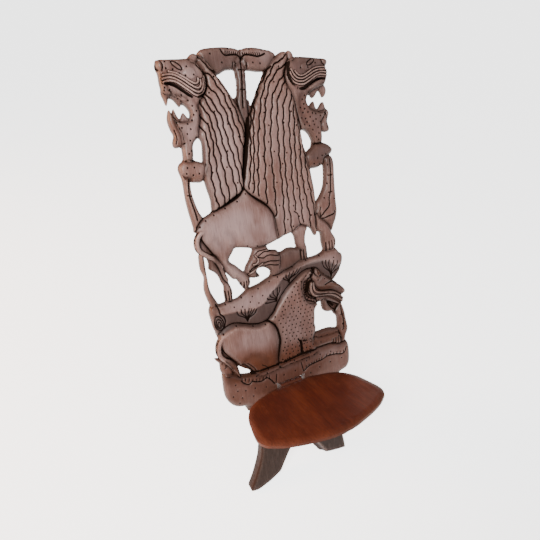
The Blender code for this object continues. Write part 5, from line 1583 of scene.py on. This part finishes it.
def carved_wood():
    """Dull waxed hardwood: dark in the cuts, with painted shade beside the forms and in the
    hollows, painted highlights with some wear on the high places, and redder low down, with
    painted warm light on some left edges.
    """
    wood = Finish("carved_wood")
    cut, grime, hollow, worn_and_lit, shade, red, plain, pale = [
        wood.number(name) for name in (
            "cut", "grime", "hollow", "worn_and_lit", "shade", "red", "plain", "pale")]
    streaks = wood.noise((90.0, 7.0, 90.0), detail=5.0, roughness=0.6, distortion=0.4)
    scratches = wood.noise((420.0, 22.0, 420.0), detail=4.0, roughness=0.65)
    patches = wood.noise((15.0, 9.0, 15.0), detail=3.0)
    specks = wood.noise((260.0, 260.0, 260.0), detail=2.0)

    # The wood itself with painted highlights on its pale places, then the smooth legs
    colour = wood.ramp(streaks, BOARD_STREAKS)
    colour = wood.mix(wood.between(patches, 0.44, 0.66), colour, BROWN_PATCH)
    bright = wood.times(pale, wood.between(patches, 0.95, 0.35))
    colour = wood.tint(colour, bright, 0.80, HIGHLIGHT_GREY)
    colour = wood.mix(plain, colour, wood.ramp(scratches, LEG_STREAKS))
    # Fine scratches above the legs, painted highlights with some wear on the crests, painted
    # shade, redder places with painted warm light on some left edges, and pores
    fine = wood.times(wood.between(scratches, 0.50, 0.68), wood.maths("SUBTRACT", 1.0, plain))
    colour = wood.tint(colour, fine, 0.20, SCRATCH_PALE)
    high = wood.times(worn_and_lit, wood.between(specks, 0.25, 0.60))
    colour = wood.tint(colour, high, 0.46, CREST_WORN_AND_LIT)
    colour = wood.tint(colour, shade, 0.80, SHADE_GREY)
    warm = wood.times(red, wood.between(streaks, 0.0, 0.45))
    colour = wood.tint(colour, warm, 0.82, LOW_RED)
    colour = wood.tint(colour, wood.between(scratches, 0.46, 0.30), 0.45, PORE_BROWN)

    # Cut sides through the plank are a little rawer, and the plain back is darker and duller
    normal = wood.add("ShaderNodeNewGeometry", {}, output="Normal")
    facing = wood.along(normal, (0.0, -math.cos(LEAN), math.sin(LEAN)))
    side = wood.between(wood.maths("ABSOLUTE", facing), 0.50, 0.15)
    colour = wood.tint(colour, side, 0.6, wood.mix(plain, RAW_SIDE, LEG_SIDE))
    behind = wood.between(facing, -0.5, -0.8)
    colour = wood.tint(colour, behind, 0.93, BACK_DARK)

    # Painted shade with some dirt beside the forms, painted shade in the hollows, and the dark
    # cuts, some of them painted shadow, over everything
    dirt_and_shade = wood.times(grime, wood.line(patches, 0.9, 0.55))
    colour = wood.mix(dirt_and_shade, colour, DIRT_AND_SHADE)
    colour = wood.tint(colour, hollow, 0.60, HOLLOW_SHADE)
    ink = wood.times(wood.between(cut, 0.12, 0.58), 0.97)
    colour = wood.mix(ink, colour, INK)

    rough = wood.line(scratches, 0.22, 0.32)
    rough = wood.line(cut, 0.30, rough)
    rough = wood.line(high, -0.08, rough)
    shine = wood.line(plain, -0.13, 0.20)
    shine = wood.times(shine, wood.maths("SUBTRACT", 1.0, ink))
    shine = wood.times(shine, wood.line(behind, -0.9, 1.0))
    grain = wood.texture((streaks, 0.0010, 0.35), (scratches, 0.0006, 0.45),
                         (specks, 0.0004, 0.22))
    wood.shade(Base_Color=colour, Roughness=rough, Specular_IOR_Level=shine, Normal=grain)
    return wood.material


def seat_wood():
    """Satin red-brown oiled hardwood, with streaks along the plank and a worn rim that carries a
    painted highlight on its right.
    """
    wood = Finish("seat_wood")
    rim, worn_and_lit, foot = [wood.number(name) for name in ("rim", "worn_and_lit", "foot")]
    streaks = wood.noise((34.0, 3.4, 34.0), detail=6.0, roughness=0.62, distortion=0.7)
    pores = wood.noise((560.0, 26.0, 560.0), detail=3.0, roughness=0.6)
    patches = wood.noise((11.0, 6.0, 11.0), detail=4.0)
    scuffs = wood.noise((70.0, 70.0, 70.0), detail=5.0, roughness=0.7)
    colour = wood.ramp(streaks, SEAT_STREAKS)
    colour = wood.mix(wood.between(patches, 0.40, 0.70), colour, SEAT_PATCH)
    worn = wood.times(rim, wood.line(patches, 0.9, -0.05))
    colour = wood.mix(worn, colour, SEAT_WORN)
    colour = wood.tint(colour, wood.between(scuffs, 0.56, 0.74), 0.22, SEAT_SCUFF)
    # A painted highlight, with some wear, at the rim's right edge
    colour = wood.tint(colour, worn_and_lit, 0.35, SEAT_RIM_WORN_AND_LIT)
    colour = wood.tint(colour, wood.between(pores, 0.58, 0.38), 0.35, SEAT_PORE)
    colour = wood.tint(colour, foot, 0.50, SEAT_UNDER)
    rough = wood.line(pores, 0.14, 0.38)
    rough = wood.line(scuffs, 0.12, rough)
    rough = wood.line(foot, 0.22, rough)
    grain = wood.texture((streaks, 0.0008, 0.25), (pores, 0.0004, 0.30), (scuffs, 0.0004, 0.20))
    wood.shade(Base_Color=colour, Roughness=rough, Specular_IOR_Level=0.12, Normal=grain)
    return wood.material


def pale_floor():
    """A plain pale floor, which glows, and does so more behind the chair than in front."""
    mesh = bpy.data.meshes.new("floor")
    body = bmesh.new()
    bmesh.ops.create_grid(body, x_segments=1, y_segments=1, size=FLOOR_HALF)
    body.to_mesh(mesh)
    body.free()
    floor = add_object("floor", mesh)
    finish = Finish("floor")
    position = finish.add("ShaderNodeNewGeometry", {}, output="Position")
    back = finish.between(finish.along(position, (0.0, 1.0, 0.0)), GLOW_FRONT, GLOW_BACK)
    finish.shade(Base_Color=FLOOR_GREY, Roughness=0.9, Specular_IOR_Level=0.1,
                 Emission_Color=WHITE, Emission_Strength=finish.line(back, GLOW_MORE, GLOW))
    mesh.materials.append(finish.material)


def soft_light(name, place, aim, size, power, colour):
    """A large square lamp that faces a point."""
    lamp = bpy.data.lights.new(name, "AREA")
    lamp.size = size
    lamp.energy = power
    lamp.color = colour
    item = add_object(name, lamp)
    item.location = place
    item.rotation_mode = "QUATERNION"
    item.rotation_quaternion = (Vector(aim) - Vector(place)).to_track_quat("-Z", "Y")


def light_studio():
    """The lamps, and pale surroundings."""
    for lamp in LAMPS:
        soft_light(*lamp)
    world = bpy.data.worlds.new("surroundings")
    world.use_nodes = True
    world.node_tree.nodes["Background"].inputs["Color"].default_value = WHITE
    world.node_tree.nodes["Background"].inputs["Strength"].default_value = SURROUNDINGS
    bpy.context.scene.world = world


def place_camera():
    """The photograph's view."""
    ahead = Vector((math.sin(CAMERA_YAW) * math.cos(CAMERA_PITCH),
                    math.cos(CAMERA_YAW) * math.cos(CAMERA_PITCH), -math.sin(CAMERA_PITCH)))
    level = Vector((math.cos(CAMERA_YAW), -math.sin(CAMERA_YAW), 0.0))
    down = ahead.cross(level)
    right = math.cos(CAMERA_ROLL) * level + math.sin(CAMERA_ROLL) * down
    down = math.cos(CAMERA_ROLL) * down - math.sin(CAMERA_ROLL) * level
    data = bpy.data.cameras.new("camera")
    data.sensor_width = SENSOR
    data.lens = FOCAL_LENGTH * SENSOR / PHOTO_WIDE
    data.clip_start = NEAREST
    data.clip_end = FARTHEST
    camera = add_object("camera", data)
    camera.matrix_world = matrix_of(right, -down, -ahead, CAMERA_PLACE)
    bpy.context.scene.camera = camera


back_board()
seat_board()
pale_floor()
light_studio()
place_camera()
